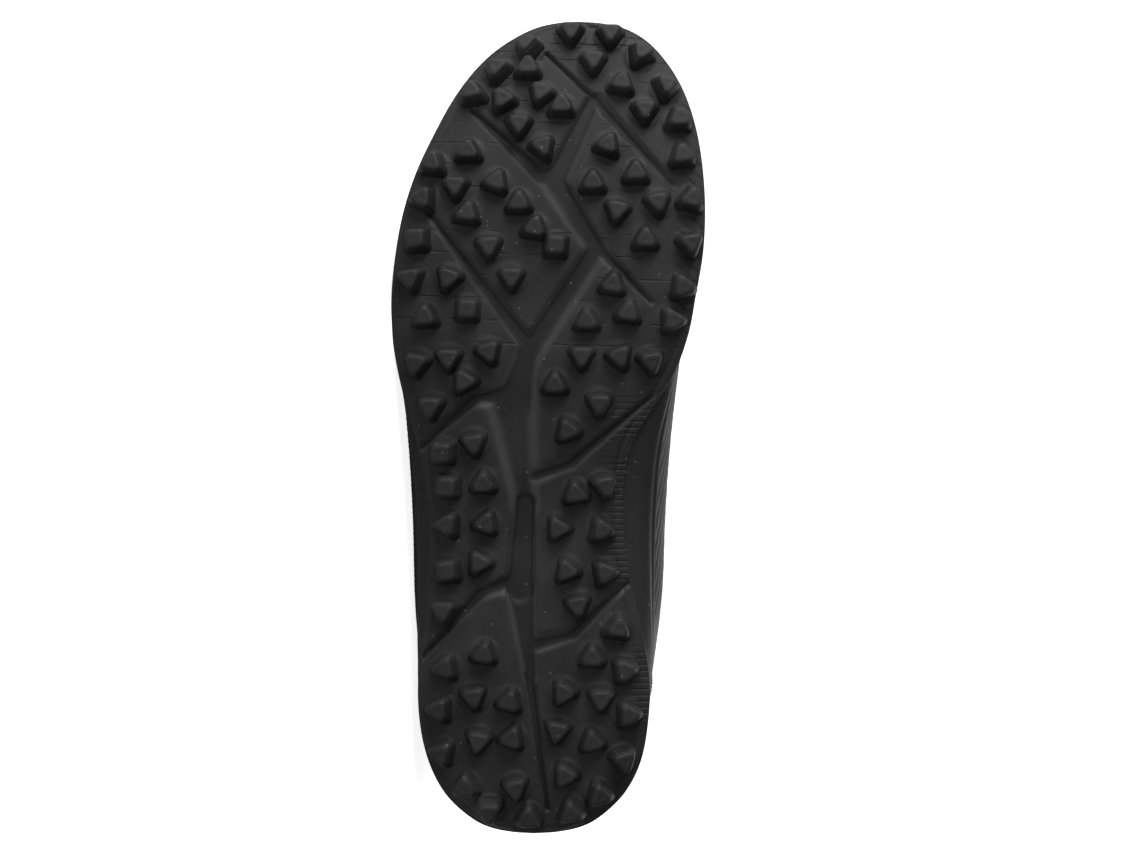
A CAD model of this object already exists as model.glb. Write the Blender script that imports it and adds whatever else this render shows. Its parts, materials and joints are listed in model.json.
"""A right football shoe for artificial turf, lying on its outer side and seen from under its sole.

The shoe's own frame has x from heel to toe, y towards the inner side and z up from the ground under the
studs. Every form is worked out there, in metres, and then placed in the row frame, in which the toe points
to -x, the tread faces -y and the inner side is up. Shares are of the shoe's length along it and of half the
ball width across it.
"""

from __future__ import annotations

import json
import logging
import math
from dataclasses import dataclass
from enum import Enum
from functools import reduce
from typing import Callable, Sequence

import bmesh
import bpy
import numpy as np
from mathutils import Matrix, Vector, kdtree

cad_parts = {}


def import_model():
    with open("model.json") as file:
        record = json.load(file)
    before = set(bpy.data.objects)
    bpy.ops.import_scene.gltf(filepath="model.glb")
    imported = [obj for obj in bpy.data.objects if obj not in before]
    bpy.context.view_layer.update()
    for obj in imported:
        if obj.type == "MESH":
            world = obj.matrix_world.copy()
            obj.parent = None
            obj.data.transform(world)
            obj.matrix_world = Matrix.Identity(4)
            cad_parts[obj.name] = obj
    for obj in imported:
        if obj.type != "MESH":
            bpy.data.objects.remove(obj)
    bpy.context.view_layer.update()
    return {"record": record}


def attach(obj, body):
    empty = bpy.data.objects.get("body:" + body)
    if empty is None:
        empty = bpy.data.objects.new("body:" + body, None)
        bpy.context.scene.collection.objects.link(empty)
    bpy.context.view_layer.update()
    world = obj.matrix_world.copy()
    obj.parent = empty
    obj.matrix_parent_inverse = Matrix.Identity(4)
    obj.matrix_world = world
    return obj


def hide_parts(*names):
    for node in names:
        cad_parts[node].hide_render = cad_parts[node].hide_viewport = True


Array = np.ndarray
Socket = bpy.types.NodeSocket
Object = bpy.types.Object
Material = bpy.types.Material

LOG = logging.getLogger("shoe")
MM = 0.001
PICTURE_WIDTH = 1140
RUN = "run"
SPIN = "spin"
NO_LENGTH = 1e-12


# ---- Curves and tables ----


def mix(a: Array, b: Array, share: Array) -> Array:
    """Returns the value a share of the way from a to b."""
    return a + (b - a) * share


def smooth(value: Array, low: float, high: float) -> Array:
    """Returns 0 below low and 1 above high, with a soft rise between them."""
    t = np.clip((np.asarray(value, float) - low) / (high - low), 0, 1)
    return t * t * (3 - 2 * t)


def turn_of(share: Array) -> Array:
    """Returns the turn round the shoe's ends, 0 at the heel and 1 at the toe, for a share of its length."""
    return np.arccos(1 - 2 * np.clip(share, 0, 1)) / np.pi


def share_of(turn: Array) -> Array:
    """Returns the share of the length for a turn round the shoe's ends."""
    return (1 - np.cos(np.pi * np.asarray(turn, float))) / 2


def stations(count: int, crowding: float) -> Array:
    """Returns shares of the length from 0 to 1, closer at the ends for more crowding."""
    even = np.linspace(0, 1, count + 1)
    return mix(even, share_of(even), crowding)


def unit(vectors: Array) -> Array:
    """Returns vectors at length 1 over their last axis."""
    return vectors / np.maximum(np.linalg.norm(vectors, axis=-1, keepdims=True), NO_LENGTH)


def travelled(points: Array) -> Array:
    """Returns the distance gone along each line of points, with 0 at its first point."""
    step = np.linalg.norm(np.diff(points, axis=-2), axis=-1)
    return np.concatenate([np.zeros(step.shape[:-1] + (1,)), np.cumsum(step, axis=-1)], axis=-1)


def angles(count: int) -> Array:
    """Returns so many angles evenly round a full turn, from 0."""
    return np.linspace(0, 2 * np.pi, count + 1)[:-1]


class Curve:
    """A smooth curve through the values of one column."""

    def __init__(
        self,
        at: Sequence[float],
        values: Sequence[float],
        key: Callable[[Array], Array] = np.asarray,
    ) -> None:
        """Works out the slopes at the column's points.

        Args:
            at: places of the points, rising.
            values: values at those places.
            key: maps a place to the curve's own parameter.
        """
        self.key = key
        self.xs = np.asarray(key(np.asarray(at, float)), float)
        self.ys = np.asarray(values, float)
        step = np.diff(self.xs)
        rate = np.diff(self.ys) / step
        share = step[:-1] / (step[:-1] + step[1:])
        inner = mix(rate[:-1], rate[1:], share)
        self.slopes = np.concatenate([rate[:1], inner, rate[-1:]])

    def __call__(self, at: Array) -> Array:
        """Reads the curve.

        Args:
            at: places along the column.

        Returns:
            The curve's values there.
        """
        x = np.clip(self.key(np.asarray(at, float)), self.xs[0], self.xs[-1])
        i = np.clip(np.searchsorted(self.xs, x, side="right") - 1, 0, len(self.xs) - 2)
        span = self.xs[i + 1] - self.xs[i]
        t = (x - self.xs[i]) / span
        t2, t3 = t * t, t * t * t
        return (
            (2 * t3 - 3 * t2 + 1) * self.ys[i]
            + (t3 - 2 * t2 + t) * span * self.slopes[i]
            + (3 * t2 - 2 * t3) * self.ys[i + 1]
            + (t3 - t2) * span * self.slopes[i + 1]
        )


@dataclass(frozen=True)
class Table:
    """A short table with named columns; the first column says where each row stands."""

    columns: tuple[str, ...]
    rows: tuple[tuple[float, ...], ...]

    def curve(self, name: str, key: Callable[[Array], Array] = np.asarray) -> Curve:
        """Draws the smooth curve of one column.

        Args:
            name: the column's name.
            key: maps a place to the curve's own parameter.

        Returns:
            The curve.
        """
        k = self.columns.index(name)
        return Curve([row[0] for row in self.rows], [row[k] for row in self.rows], key)


OUTSOLE_EDGE = Table(
    ("at", "outer", "inner"),
    (
        (0, -0.04, -0.04), (0.009, -0.34, 0.27), (0.027, -0.49, 0.42), (0.051, -0.61, 0.54),
        (0.088, -0.71, 0.64), (0.138, -0.77, 0.69), (0.187, -0.78, 0.7), (0.237, -0.75, 0.66),
        (0.3, -0.715, 0.59), (0.37, -0.71, 0.535), (0.435, -0.74, 0.54), (0.475, -0.785, 0.585),
        (0.515, -0.845, 0.7), (0.56, -0.905, 0.85), (0.608, -0.945, 0.945), (0.657, -0.95, 0.995),
        (0.707, -0.925, 1.04), (0.756, -0.88, 1.055), (0.806, -0.8, 1.045), (0.855, -0.685, 1.01),
        (0.905, -0.545, 0.935), (0.954, -0.34, 0.79), (0.979, -0.165, 0.66), (0.994, 0.005, 0.5),
        (1, 0.235, 0.235),
    ),
)

BODY = Table(
    ("at", "foot_outer", "foot_inner", "outer", "inner", "ridge", "centre", "square"),
    (
        (0, -0.04, -0.04, -0.04, -0.04, 1.42, -0.04, 2),
        (0.01, -0.33, 0.26, -0.35, 0.28, 1.42, -0.03, 2),
        (0.04, -0.56, 0.49, -0.58, 0.51, 1.41, -0.02, 2),
        (0.09, -0.69, 0.62, -0.71, 0.645, 1.4, -0.01, 2.1),
        (0.15, -0.755, 0.68, -0.77, 0.71, 1.37, 0, 2.1),
        (0.22, -0.775, 0.71, -0.815, 0.765, 1.3, 0.03, 2.1),
        (0.3, -0.78, 0.72, -0.835, 0.8, 1.17, 0.07, 2.1),
        (0.38, -0.79, 0.73, -0.845, 0.815, 1.03, 0.1, 2.05),
        (0.46, -0.815, 0.76, -0.865, 0.84, 0.92, 0.12, 2),
        (0.54, -0.865, 0.83, -0.895, 0.88, 0.81, 0.14, 2),
        (0.62, -0.915, 0.925, -0.92, 0.935, 0.695, 0.15, 2.05),
        (0.7, -0.9, 1.0, -0.9, 1.0, 0.565, 0.17, 2.1),
        (0.78, -0.82, 1.02, -0.815, 1.01, 0.46, 0.2, 2.15),
        (0.86, -0.655, 0.97, -0.64, 0.95, 0.375, 0.22, 2.2),
        (0.93, -0.45, 0.83, -0.43, 0.8, 0.3, 0.23, 2.2),
        (0.97, -0.235, 0.68, -0.215, 0.65, 0.225, 0.235, 2.2),
        (0.992, 0.01, 0.47, 0.03, 0.45, 0.135, 0.235, 2.1),
        (1, 0.235, 0.235, 0.235, 0.235, 0.06, 0.235, 2),
    ),
)

COLLAR = Table(
    ("at", "outer", "inner"),
    (
        (0, 1, 1), (0.05, 0.965, 0.975), (0.12, 0.83, 0.87), (0.2, 0.775, 0.82), (0.27, 0.83, 0.88),
        (0.33, 1.0, 1.05), (0.38, 1.27, 1.31), (0.45, 1.7, 1.75), (1, 4, 4),
    ),
)

HEEL_PROFILE = Table(
    ("up", "forward"),
    ((0, 0), (0.18, -0.4), (0.36, -0.5), (0.6, 0.05), (0.85, 0.8), (1, 0.85), (1.4, 0.6), (3, 0.6)),
)


# ---- The shoe's own frame and sizes ----


@dataclass(frozen=True)
class ShoeFrame:
    """Where the shoe's own frame lies in the row frame, read from the record's two tread mounts."""

    origin: Array
    axes: Array
    length: float

    HEEL_STUD = (0.175, 0.15)
    BALL_STUD = (0.624, 0.295)
    BALL_TO_LENGTH = 108.3 / 284

    @classmethod
    def from_record(cls, record: dict) -> "ShoeFrame":
        """Works the frame out from the tips of a heel stud and a ball stud.

        Args:
            record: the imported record, with mounts heel_tread and ball_tread.

        Returns:
            The frame, with the shoe's length.
        """
        mounts = {m["name"]: m for m in record["mounts"]}
        heel = np.array(mounts["heel_tread"]["pos_m"], float)
        ball = np.array(mounts["ball_tread"]["pos_m"], float)
        up = unit(-np.array(mounts["heel_tread"]["axis"], float))
        run = ball - heel
        run -= up * (run @ up)
        along = cls.BALL_STUD[0] - cls.HEEL_STUD[0]
        across = (cls.BALL_STUD[1] - cls.HEEL_STUD[1]) * cls.BALL_TO_LENGTH / 2
        length = float(np.linalg.norm(run) / math.hypot(along, across))
        angle = math.atan2(across, along)
        run = unit(run)
        side = np.cross(up, run)
        x = run * math.cos(angle) - side * math.sin(angle)
        y = np.cross(up, x)
        half_ball = length * cls.BALL_TO_LENGTH / 2
        origin = heel - x * cls.HEEL_STUD[0] * length - y * cls.HEEL_STUD[1] * half_ball
        return cls(origin, np.array([x, y, up]), length)

    @property
    def half_ball(self) -> float:
        """Half the width of the sole at the ball."""
        return self.length * self.BALL_TO_LENGTH / 2

    def place(self, points: Array) -> Array:
        """Returns points of the shoe's frame in the row frame."""
        return self.origin + np.asarray(points, float) @ self.axes

    def turn(self, directions: Array) -> Array:
        """Returns directions of the shoe's frame in the row frame."""
        return np.asarray(directions, float) @ self.axes


@dataclass(frozen=True)
class ShoeSizes:
    """Sizes of the shoe's parts, in metres."""

    toe_spring: float = 15 * MM
    arch_rise: float = 2 * MM
    heel_bevel: float = 2.5 * MM
    edge_roll: float = 2.2 * MM
    edge_round: float = 1 * MM
    rubber: float = 4.2 * MM
    channel_depth: float = 1.8 * MM
    stud_height: float = 5.6 * MM
    stud_foot: float = 10.6 * MM
    stud_tip: float = 7.2 * MM
    stud_reach: float = 1.1
    midsole_heel: float = 9 * MM
    midsole_toe: float = 4.5 * MM
    midsole_inset: float = 0.6 * MM
    wall: float = 2 * MM
    feather_inset: float = 1.2 * MM
    tip_inset: float = 2.4 * MM
    bulge_height: float = 20 * MM
    instep_height: float = 84 * MM
    collar_height: float = 62 * MM
    collar_pad: float = 3 * MM
    collar_pad_depth: float = 20 * MM
    heel_lean: float = 5 * MM
    throat_half_width: float = 12 * MM
    eyestay_width: float = 14 * MM
    eyestay_step: float = 0.7 * MM
    eyelet_pairs: int = 6
    eyelet_radius: float = 1.9 * MM
    eyelet_inset: float = 6.6 * MM
    tongue_thickness: float = 3.4 * MM
    tongue_half_width: float = 25 * MM
    tongue_clear: float = 1.45 * MM
    insole_thickness: float = 3 * MM
    insole_inset: float = 3 * MM
    lace_width: float = 6 * MM
    lace_thickness: float = 1.3 * MM
    gap: float = 0.33 * MM

    heel_flat_from: float = 0.07
    arch_from: float = 0.2
    arch_to: float = 0.55
    spring_from: float = 0.67
    pad_end: float = 0.3
    throat_back: float = 0.36
    throat_round_from: float = 0.615
    throat_front: float = 0.675
    eyelets_from: float = 0.395
    eyelets_to: float = 0.612
    tongue_top: float = 0.315
    tongue_toe: float = 0.71
    round_end: float = 0.65
    bulge_up: float = 0.2


class Sole:
    """Outline and heights of the sole, shared by the outsole, midsole, insole and the foot of the upper."""

    def __init__(self, frame: ShoeFrame, sizes: ShoeSizes) -> None:
        """Reads the outline tables.

        Args:
            frame: the shoe's frame.
            sizes: the shoe's sizes.
        """
        self.frame = frame
        self.sizes = sizes
        self.edges = [OUTSOLE_EDGE.curve("outer", turn_of), OUTSOLE_EDGE.curve("inner", turn_of)]
        self.feet = [BODY.curve("foot_outer", turn_of), BODY.curve("foot_inner", turn_of)]

    def rise(self, at: Array) -> Array:
        """Works out the bevelled heel, the arch and the toe spring.

        Args:
            at: shares of the length.

        Returns:
            Height of the tread's face over its middle plane.
        """
        s = self.sizes
        heel = s.heel_bevel * np.clip(1 - at / s.heel_flat_from, 0, 1) ** 2
        across = np.clip((at - s.arch_from) / (s.arch_to - s.arch_from), 0, 1)
        arch = s.arch_rise * np.sin(np.pi * across) ** 2
        spring = s.toe_spring * np.clip((at - s.spring_from) / (1 - s.spring_from), 0, 1) ** 1.9
        return heel + arch + spring

    def tread(self, at: Array, across: Array) -> Array:
        """Works out the tread's face, which rolls up towards its edges.

        Args:
            at: shares of the length.
            across: -1 at the outer edge to 1 at the inner edge.

        Returns:
            Height of the tread's face.
        """
        s = self.sizes
        roll = s.edge_roll * 2.2 * smooth(np.abs(across), 0.45, 1.25) ** 2
        return s.stud_height + self.rise(at) + roll

    def rubber_top(self, at: Array) -> Array:
        """Height of the outsole's upper face."""
        return self.sizes.stud_height + self.rise(at) + self.sizes.rubber

    def foam(self, at: Array) -> Array:
        """Thickness of the midsole."""
        return mix(self.sizes.midsole_heel, self.sizes.midsole_toe, smooth(at, 0.15, 0.7))

    def foam_top(self, at: Array) -> Array:
        """Height of the midsole's upper face."""
        return self.rubber_top(at) + self.sizes.gap + self.foam(at)

    def feather(self, at: Array) -> Array:
        """Height of the upper's lower edge."""
        return self.foam_top(at) + self.sizes.gap

    def _edge(self, curves: list[Curve], side: int, at: Array, inset: float) -> Array:
        """Draws an edge in by an inset that fades towards the round ends.

        Args:
            curves: the outer edge's curve and the inner edge's.
            side: 0 for the outer side, 1 for the inner side.
            at: shares of the length.
            inset: how far the edge is drawn in.

        Returns:
            The edge's place across, in metres.
        """
        half_ball = self.frame.half_ball
        wide = (curves[1](at) - curves[0](at)) / (2 * self.sizes.round_end)
        return curves[side](at) * half_ball - (2 * side - 1) * inset * np.clip(wide, 0, 1)

    def outsole_edge(self, side: int, at: Array, inset: float = 0) -> Array:
        """Outer (side 0) or inner (side 1) edge of the outsole, in metres across."""
        return self._edge(self.edges, side, at, inset)

    def foot_edge(self, side: int, at: Array, inset: float = 0) -> Array:
        """Outer (side 0) or inner (side 1) edge of the upper's foot, in metres across."""
        return self._edge(self.feet, side, at, inset)

    def along(self, at: Array, tip: float) -> Array:
        """Place along the shoe of a ring whose two tips are drawn in."""
        return tip + at * (self.frame.length - 2 * tip)


# ---- Meshes ----


class Skin:
    """Collects vertices, faces and a surface coordinate, and makes one mesh object of them."""

    MERGE = 1e-6
    SLIVER = 1e-7

    def __init__(self) -> None:
        """Starts with nothing in it."""
        self.points: list[Array] = []
        self.runs: list[Array] = []
        self.faces: list[Array] = []
        self.slots: list[Array] = []
        self.count = 0

    def add(self, points: Array, run: Array | None = None) -> Array:
        """Adds a grid or row of points.

        Args:
            points: array of any shape that ends in 3.
            run: surface coordinate of each point, of the same shape, or None for zeros.

        Returns:
            The points' numbers, in the array's shape without its last axis.
        """
        flat = np.asarray(points, float).reshape(-1, 3)
        run = np.zeros_like(flat) if run is None else np.asarray(run, float).reshape(-1, 3)
        ids = np.arange(self.count, self.count + len(flat))
        self.points.append(flat)
        self.runs.append(run)
        self.count += len(flat)
        return ids.reshape(np.asarray(points).shape[:-1])

    def grid(self, ids: Array, flip: bool = False, slot: int = 0) -> None:
        """Spans quads over a grid of point numbers.

        Args:
            ids: two-dimensional array of point numbers.
            flip: True to turn the faces round.
            slot: material slot of the faces.
        """
        quads = np.stack([ids[:-1, :-1], ids[1:, :-1], ids[1:, 1:], ids[:-1, 1:]], -1).reshape(-1, 4)
        self.faces.append(quads[:, ::-1] if flip else quads)
        self.slots.append(np.full(len(quads), slot))

    def fan(self, row: Array, middle: Array, flip: bool) -> None:
        """Closes a ring with faces that meet in its middle.

        Args:
            row: the ring's point numbers.
            middle: place of the middle.
            flip: True to turn the faces round.
        """
        ids = self.add(np.reshape(middle, (1, 3)))
        loop = np.append(row, row[0])
        self.grid(np.stack([loop, np.full(len(loop), ids[0])], 1), flip=flip)

    def tube(
        self,
        rings: Array,
        runs: Array | None,
        ends: tuple[Array, Array],
        flip: bool = False,
    ) -> None:
        """Spans a tube over rings of points and closes both its ends.

        Args:
            rings: array [ring, point, 3].
            runs: surface coordinates of the same shape, or None for zeros.
            ends: middle of the first end and of the last.
            flip: True to turn the tube's faces round.
        """
        ids = self.add(rings, runs)
        self.grid(np.concatenate([ids, ids[:, :1]], 1), flip=flip)
        self.fan(ids[0], ends[0], True)
        self.fan(ids[-1], ends[1], False)

    def build(
        self, name: str, frame: ShoeFrame | None, materials: Sequence[Material]
    ) -> Object:
        """Makes the object, with its corners merged and its faces turned outwards.

        Args:
            name: name of the object.
            frame: the shoe's frame, or None where the points are in the object's own frame.
            materials: the object's materials, one for each slot.

        Returns:
            The object, linked to the scene.
        """
        points = np.concatenate(self.points)
        if frame is not None:
            points = frame.place(points)
        mesh = bpy.data.meshes.new(name)
        mesh.from_pydata(points.tolist(), [], np.concatenate(self.faces).tolist())
        run = mesh.attributes.new(RUN, "FLOAT_VECTOR", "POINT")
        run.data.foreach_set("vector", np.concatenate(self.runs).astype(np.float32).ravel())
        mesh.polygons.foreach_set("material_index", np.concatenate(self.slots).astype(np.int32))
        for material in materials:
            mesh.materials.append(material)
        work = bmesh.new()
        work.from_mesh(mesh)
        bmesh.ops.remove_doubles(work, verts=work.verts, dist=self.MERGE)
        bmesh.ops.dissolve_degenerate(work, edges=work.edges, dist=self.SLIVER)
        bmesh.ops.recalc_face_normals(work, faces=work.faces)
        for face in work.faces:
            face.smooth = True
        work.to_mesh(mesh)
        work.free()
        return linked(name, mesh)


def linked(name: str, data: bpy.types.ID) -> Object:
    """Makes an object of a mesh, light or camera.

    Args:
        name: name of the object.
        data: what it shows.

    Returns:
        The object, linked to the scene.
    """
    thing = bpy.data.objects.new(name, data)
    bpy.context.scene.collection.objects.link(thing)
    return thing


def plain_mesh(thing: Object) -> bpy.types.Mesh:
    """Carries out an object's modifiers and takes them off.

    Args:
        thing: the object.

    Returns:
        The plain mesh that comes of it.
    """
    bpy.context.view_layer.update()
    ready = thing.evaluated_get(bpy.context.evaluated_depsgraph_get())
    mesh = bpy.data.meshes.new_from_object(ready)
    thing.modifiers.clear()
    return mesh


def normals_of(grid: Array) -> Array:
    """Unit normals of a grid of points, by the cross product of its two directions."""
    return unit(np.cross(np.gradient(grid, axis=0), np.gradient(grid, axis=1)))


def resample(lines: Array, shares: Array) -> Array:
    """Spaces points anew along many polylines at once.

    Args:
        lines: array [line, point, 3].
        shares: array [line, new point] of shares of each line's length.

    Returns:
        Array [line, new point, 3].
    """
    length = travelled(lines)
    out = np.empty((len(lines), shares.shape[1], 3))
    for i in range(len(lines)):
        for k in range(3):
            out[i, :, k] = np.interp(shares[i] * length[i, -1], length[i], lines[i, :, k])
    return out


class StampTree:
    """A Geometry Nodes tree that sets a small mesh on every point of a chart, turned as the chart says."""

    NAME = "stamp on chart"
    SEED = 7
    INPUTS = (
        ("Chart", "Geometry"),
        ("Stamp", "Object"),
        ("Size", "Float"),
        ("Variation", "Float"),
        ("Seed", "Int"),
        ("Finish", "Material"),
    )

    def __init__(self) -> None:
        """Builds the tree with its named inputs."""
        tree = bpy.data.node_groups.new(self.NAME, "GeometryNodeTree")
        for label, kind in self.INPUTS:
            tree.interface.new_socket(label, in_out="INPUT", socket_type="NodeSocket" + kind)
        tree.interface.new_socket("Stamped", in_out="OUTPUT", socket_type="NodeSocketGeometry")
        add, link = tree.nodes.new, tree.links.new
        inlet, outlet = add("NodeGroupInput"), add("NodeGroupOutput")
        source = add("GeometryNodeObjectInfo")
        spin = add("GeometryNodeInputNamedAttribute")
        spin.data_type = "FLOAT_VECTOR"
        spin.inputs["Name"].default_value = SPIN
        turn = add("FunctionNodeEulerToRotation")
        vary = add("FunctionNodeRandomValue")
        vary.data_type = "FLOAT"
        low, high = add("ShaderNodeMath"), add("ShaderNodeMath")
        low.operation, high.operation = "SUBTRACT", "ADD"
        place = add("GeometryNodeInstanceOnPoints")
        real = add("GeometryNodeRealizeInstances")
        paint = add("GeometryNodeSetMaterial")
        link(inlet.outputs["Stamp"], source.inputs["Object"])
        link(spin.outputs["Attribute"], turn.inputs[0])
        for node in (low, high):
            link(inlet.outputs["Size"], node.inputs[0])
            link(inlet.outputs["Variation"], node.inputs[1])
        sockets = [s for s in vary.inputs if s.enabled and s.type == "VALUE"]
        link(low.outputs[0], sockets[0])
        link(high.outputs[0], sockets[1])
        link(inlet.outputs["Seed"], vary.inputs["Seed"])
        link(inlet.outputs["Chart"], place.inputs["Points"])
        link(source.outputs["Geometry"], place.inputs["Instance"])
        link(turn.outputs[0], place.inputs["Rotation"])
        size = next(s for s in vary.outputs if s.enabled and s.type == "VALUE")
        link(size, place.inputs["Scale"])
        link(place.outputs["Instances"], real.inputs["Geometry"])
        link(real.outputs["Geometry"], paint.inputs["Geometry"])
        link(inlet.outputs["Finish"], paint.inputs["Material"])
        link(paint.outputs["Geometry"], outlet.inputs["Stamped"])
        self.tree = tree

    def stamp(
        self,
        name: str,
        places: Array,
        bases: Array,
        stamp: Object,
        finish: Material,
        variation: float = 0.0,
    ) -> Object:
        """Sets the stamp on every place and makes one plain mesh of the result.

        Args:
            name: name of the new object.
            places: array [n, 3] in the row frame.
            bases: array [n, 3, 3] whose rows are the stamp's x, y and z directions.
            stamp: the small object, at the origin of its own frame.
            finish: material of the result.
            variation: how much the size varies either way.

        Returns:
            The new object.
        """
        mesh = bpy.data.meshes.new(name + "_chart")
        mesh.from_pydata(np.asarray(places).tolist(), [], [])
        spin = mesh.attributes.new(SPIN, "FLOAT_VECTOR", "POINT")
        turns = [tuple(Matrix(b.T.tolist()).to_euler()) for b in np.asarray(bases)]
        spin.data.foreach_set("vector", np.array(turns, np.float32).ravel())
        chart = linked(name + "_chart", mesh)
        live = chart.modifiers.new("stamp", "NODES")
        live.node_group = self.tree
        ids = {s.name: s.identifier for s in self.tree.interface.items_tree if s.in_out == "INPUT"}
        values = {"Stamp": stamp, "Size": 1.0, "Variation": variation, "Seed": self.SEED, "Finish": finish}
        for label, value in values.items():
            live[ids[label]] = value
        result = plain_mesh(chart)
        bpy.data.objects.remove(chart)
        result.name = name
        return linked(name, result)


# ---- Shader groups and finishes ----


class Nodes:
    """Adds nodes to a shader tree and joins them."""

    def __init__(self, tree: bpy.types.NodeTree) -> None:
        """Takes the tree to add to."""
        self.tree = tree

    def add(self, kind: str, settings: dict | None = None, **inputs: object) -> bpy.types.Node:
        """Adds one node.

        Args:
            kind: the node's type name.
            settings: properties of the node.
            inputs: values or sockets for the node's inputs, by name with _ for a space, or i0, i1 by number.

        Returns:
            The node.
        """
        node = self.tree.nodes.new(kind)
        for key, value in (settings or {}).items():
            setattr(node, key, value)
        for key, value in inputs.items():
            numbered = key[0] == "i" and key[1:].isdigit()
            socket = node.inputs[int(key[1:])] if numbered else node.inputs[key.replace("_", " ")]
            if isinstance(value, Socket):
                self.tree.links.new(value, socket)
            else:
                socket.default_value = value
        return node

    def link(self, source: Socket, target: Socket) -> None:
        """Joins two sockets."""
        self.tree.links.new(source, target)

    def maths(self, operation: str, *values: object) -> Socket:
        """Returns the output of a Math node over values or sockets."""
        inputs = {f"i{k}": v for k, v in enumerate(values)}
        return self.add("ShaderNodeMath", {"operation": operation}, **inputs).outputs[0]

    def times(self, *values: object) -> Socket:
        """Returns the product of values or sockets."""
        return reduce(lambda a, b: self.maths("MULTIPLY", a, b), values)

    def plus(self, a: object, b: object) -> Socket:
        """Returns the sum of two values or sockets."""
        return self.maths("ADD", a, b)

    def waves(self, value: object, pitch: float) -> Socket:
        """Returns how far a value is from the nearest of even steps, at most half a pitch."""
        return self.maths("PINGPONG", value, pitch / 2)

    def rising(self, value: object, low: float, high: float) -> Socket:
        """Returns 0 below low and 1 above high, with a soft rise between them."""
        return self._step(value, low, high, 0.0, 1.0)

    def falling(self, value: object, low: float, high: float) -> Socket:
        """Returns 1 below low and 0 above high, with a soft fall between them."""
        return self._step(value, low, high, 1.0, 0.0)

    def _step(self, *values: object) -> Socket:
        """Returns a soft step: a value, its two limits, and what comes out at them."""
        inputs = {f"i{k}": v for k, v in enumerate(values)}
        return self.add("ShaderNodeMapRange", {"interpolation_type": "SMOOTHSTEP"}, **inputs).outputs[0]

    def here(self) -> Socket:
        """Returns the place on the piece in its own coordinates."""
        return self.add("ShaderNodeTexCoord").outputs["Object"]

    def run(self) -> Socket:
        """Returns the piece's surface coordinate."""
        return self.add("ShaderNodeAttribute", {"attribute_name": RUN}).outputs["Vector"]

    def run_parts(self) -> Sequence[Socket]:
        """Returns the three parts of the piece's surface coordinate."""
        return self.add("ShaderNodeSeparateXYZ", Vector=self.run()).outputs

    def seen(self, unseen: float, seen: float) -> Socket:
        """Returns one value for what the camera sees and another for what lights the shoe."""
        ray = self.add("ShaderNodeLightPath").outputs["Is Camera Ray"]
        return self.plus(unseen, self.times(ray, seen - unseen))

    def noise(self, scale: object, detail: float, roughness: float = 0.5) -> Socket:
        """Returns cloudy noise from about 0 to 1 over the piece."""
        inputs = {"Vector": self.here(), "Scale": scale, "Detail": detail, "Roughness": roughness}
        return self.add("ShaderNodeTexNoise", None, **inputs).outputs[0]

    def mixed(self, factor: object, a: object, b: object) -> Socket:
        """Mixes two colours.

        Args:
            factor: share of the way from a to b, as a value or socket.
            a: first colour or socket.
            b: second colour or socket.

        Returns:
            The mixed colour's socket.
        """
        node = self.tree.nodes.new("ShaderNodeMix")
        node.data_type = "RGBA"
        for socket, value in ((node.inputs[0], factor), (node.inputs[6], a), (node.inputs[7], b)):
            if isinstance(value, Socket):
                self.tree.links.new(value, socket)
            else:
                socket.default_value = value
        return node.outputs[2]


class GroupName(Enum):
    """The shader groups that several finishes share."""

    GRAIN = "moulded grain"
    DUST = "dust specks"
    WEAR = "edge wear"
    WEAVE = "woven threads"


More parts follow.
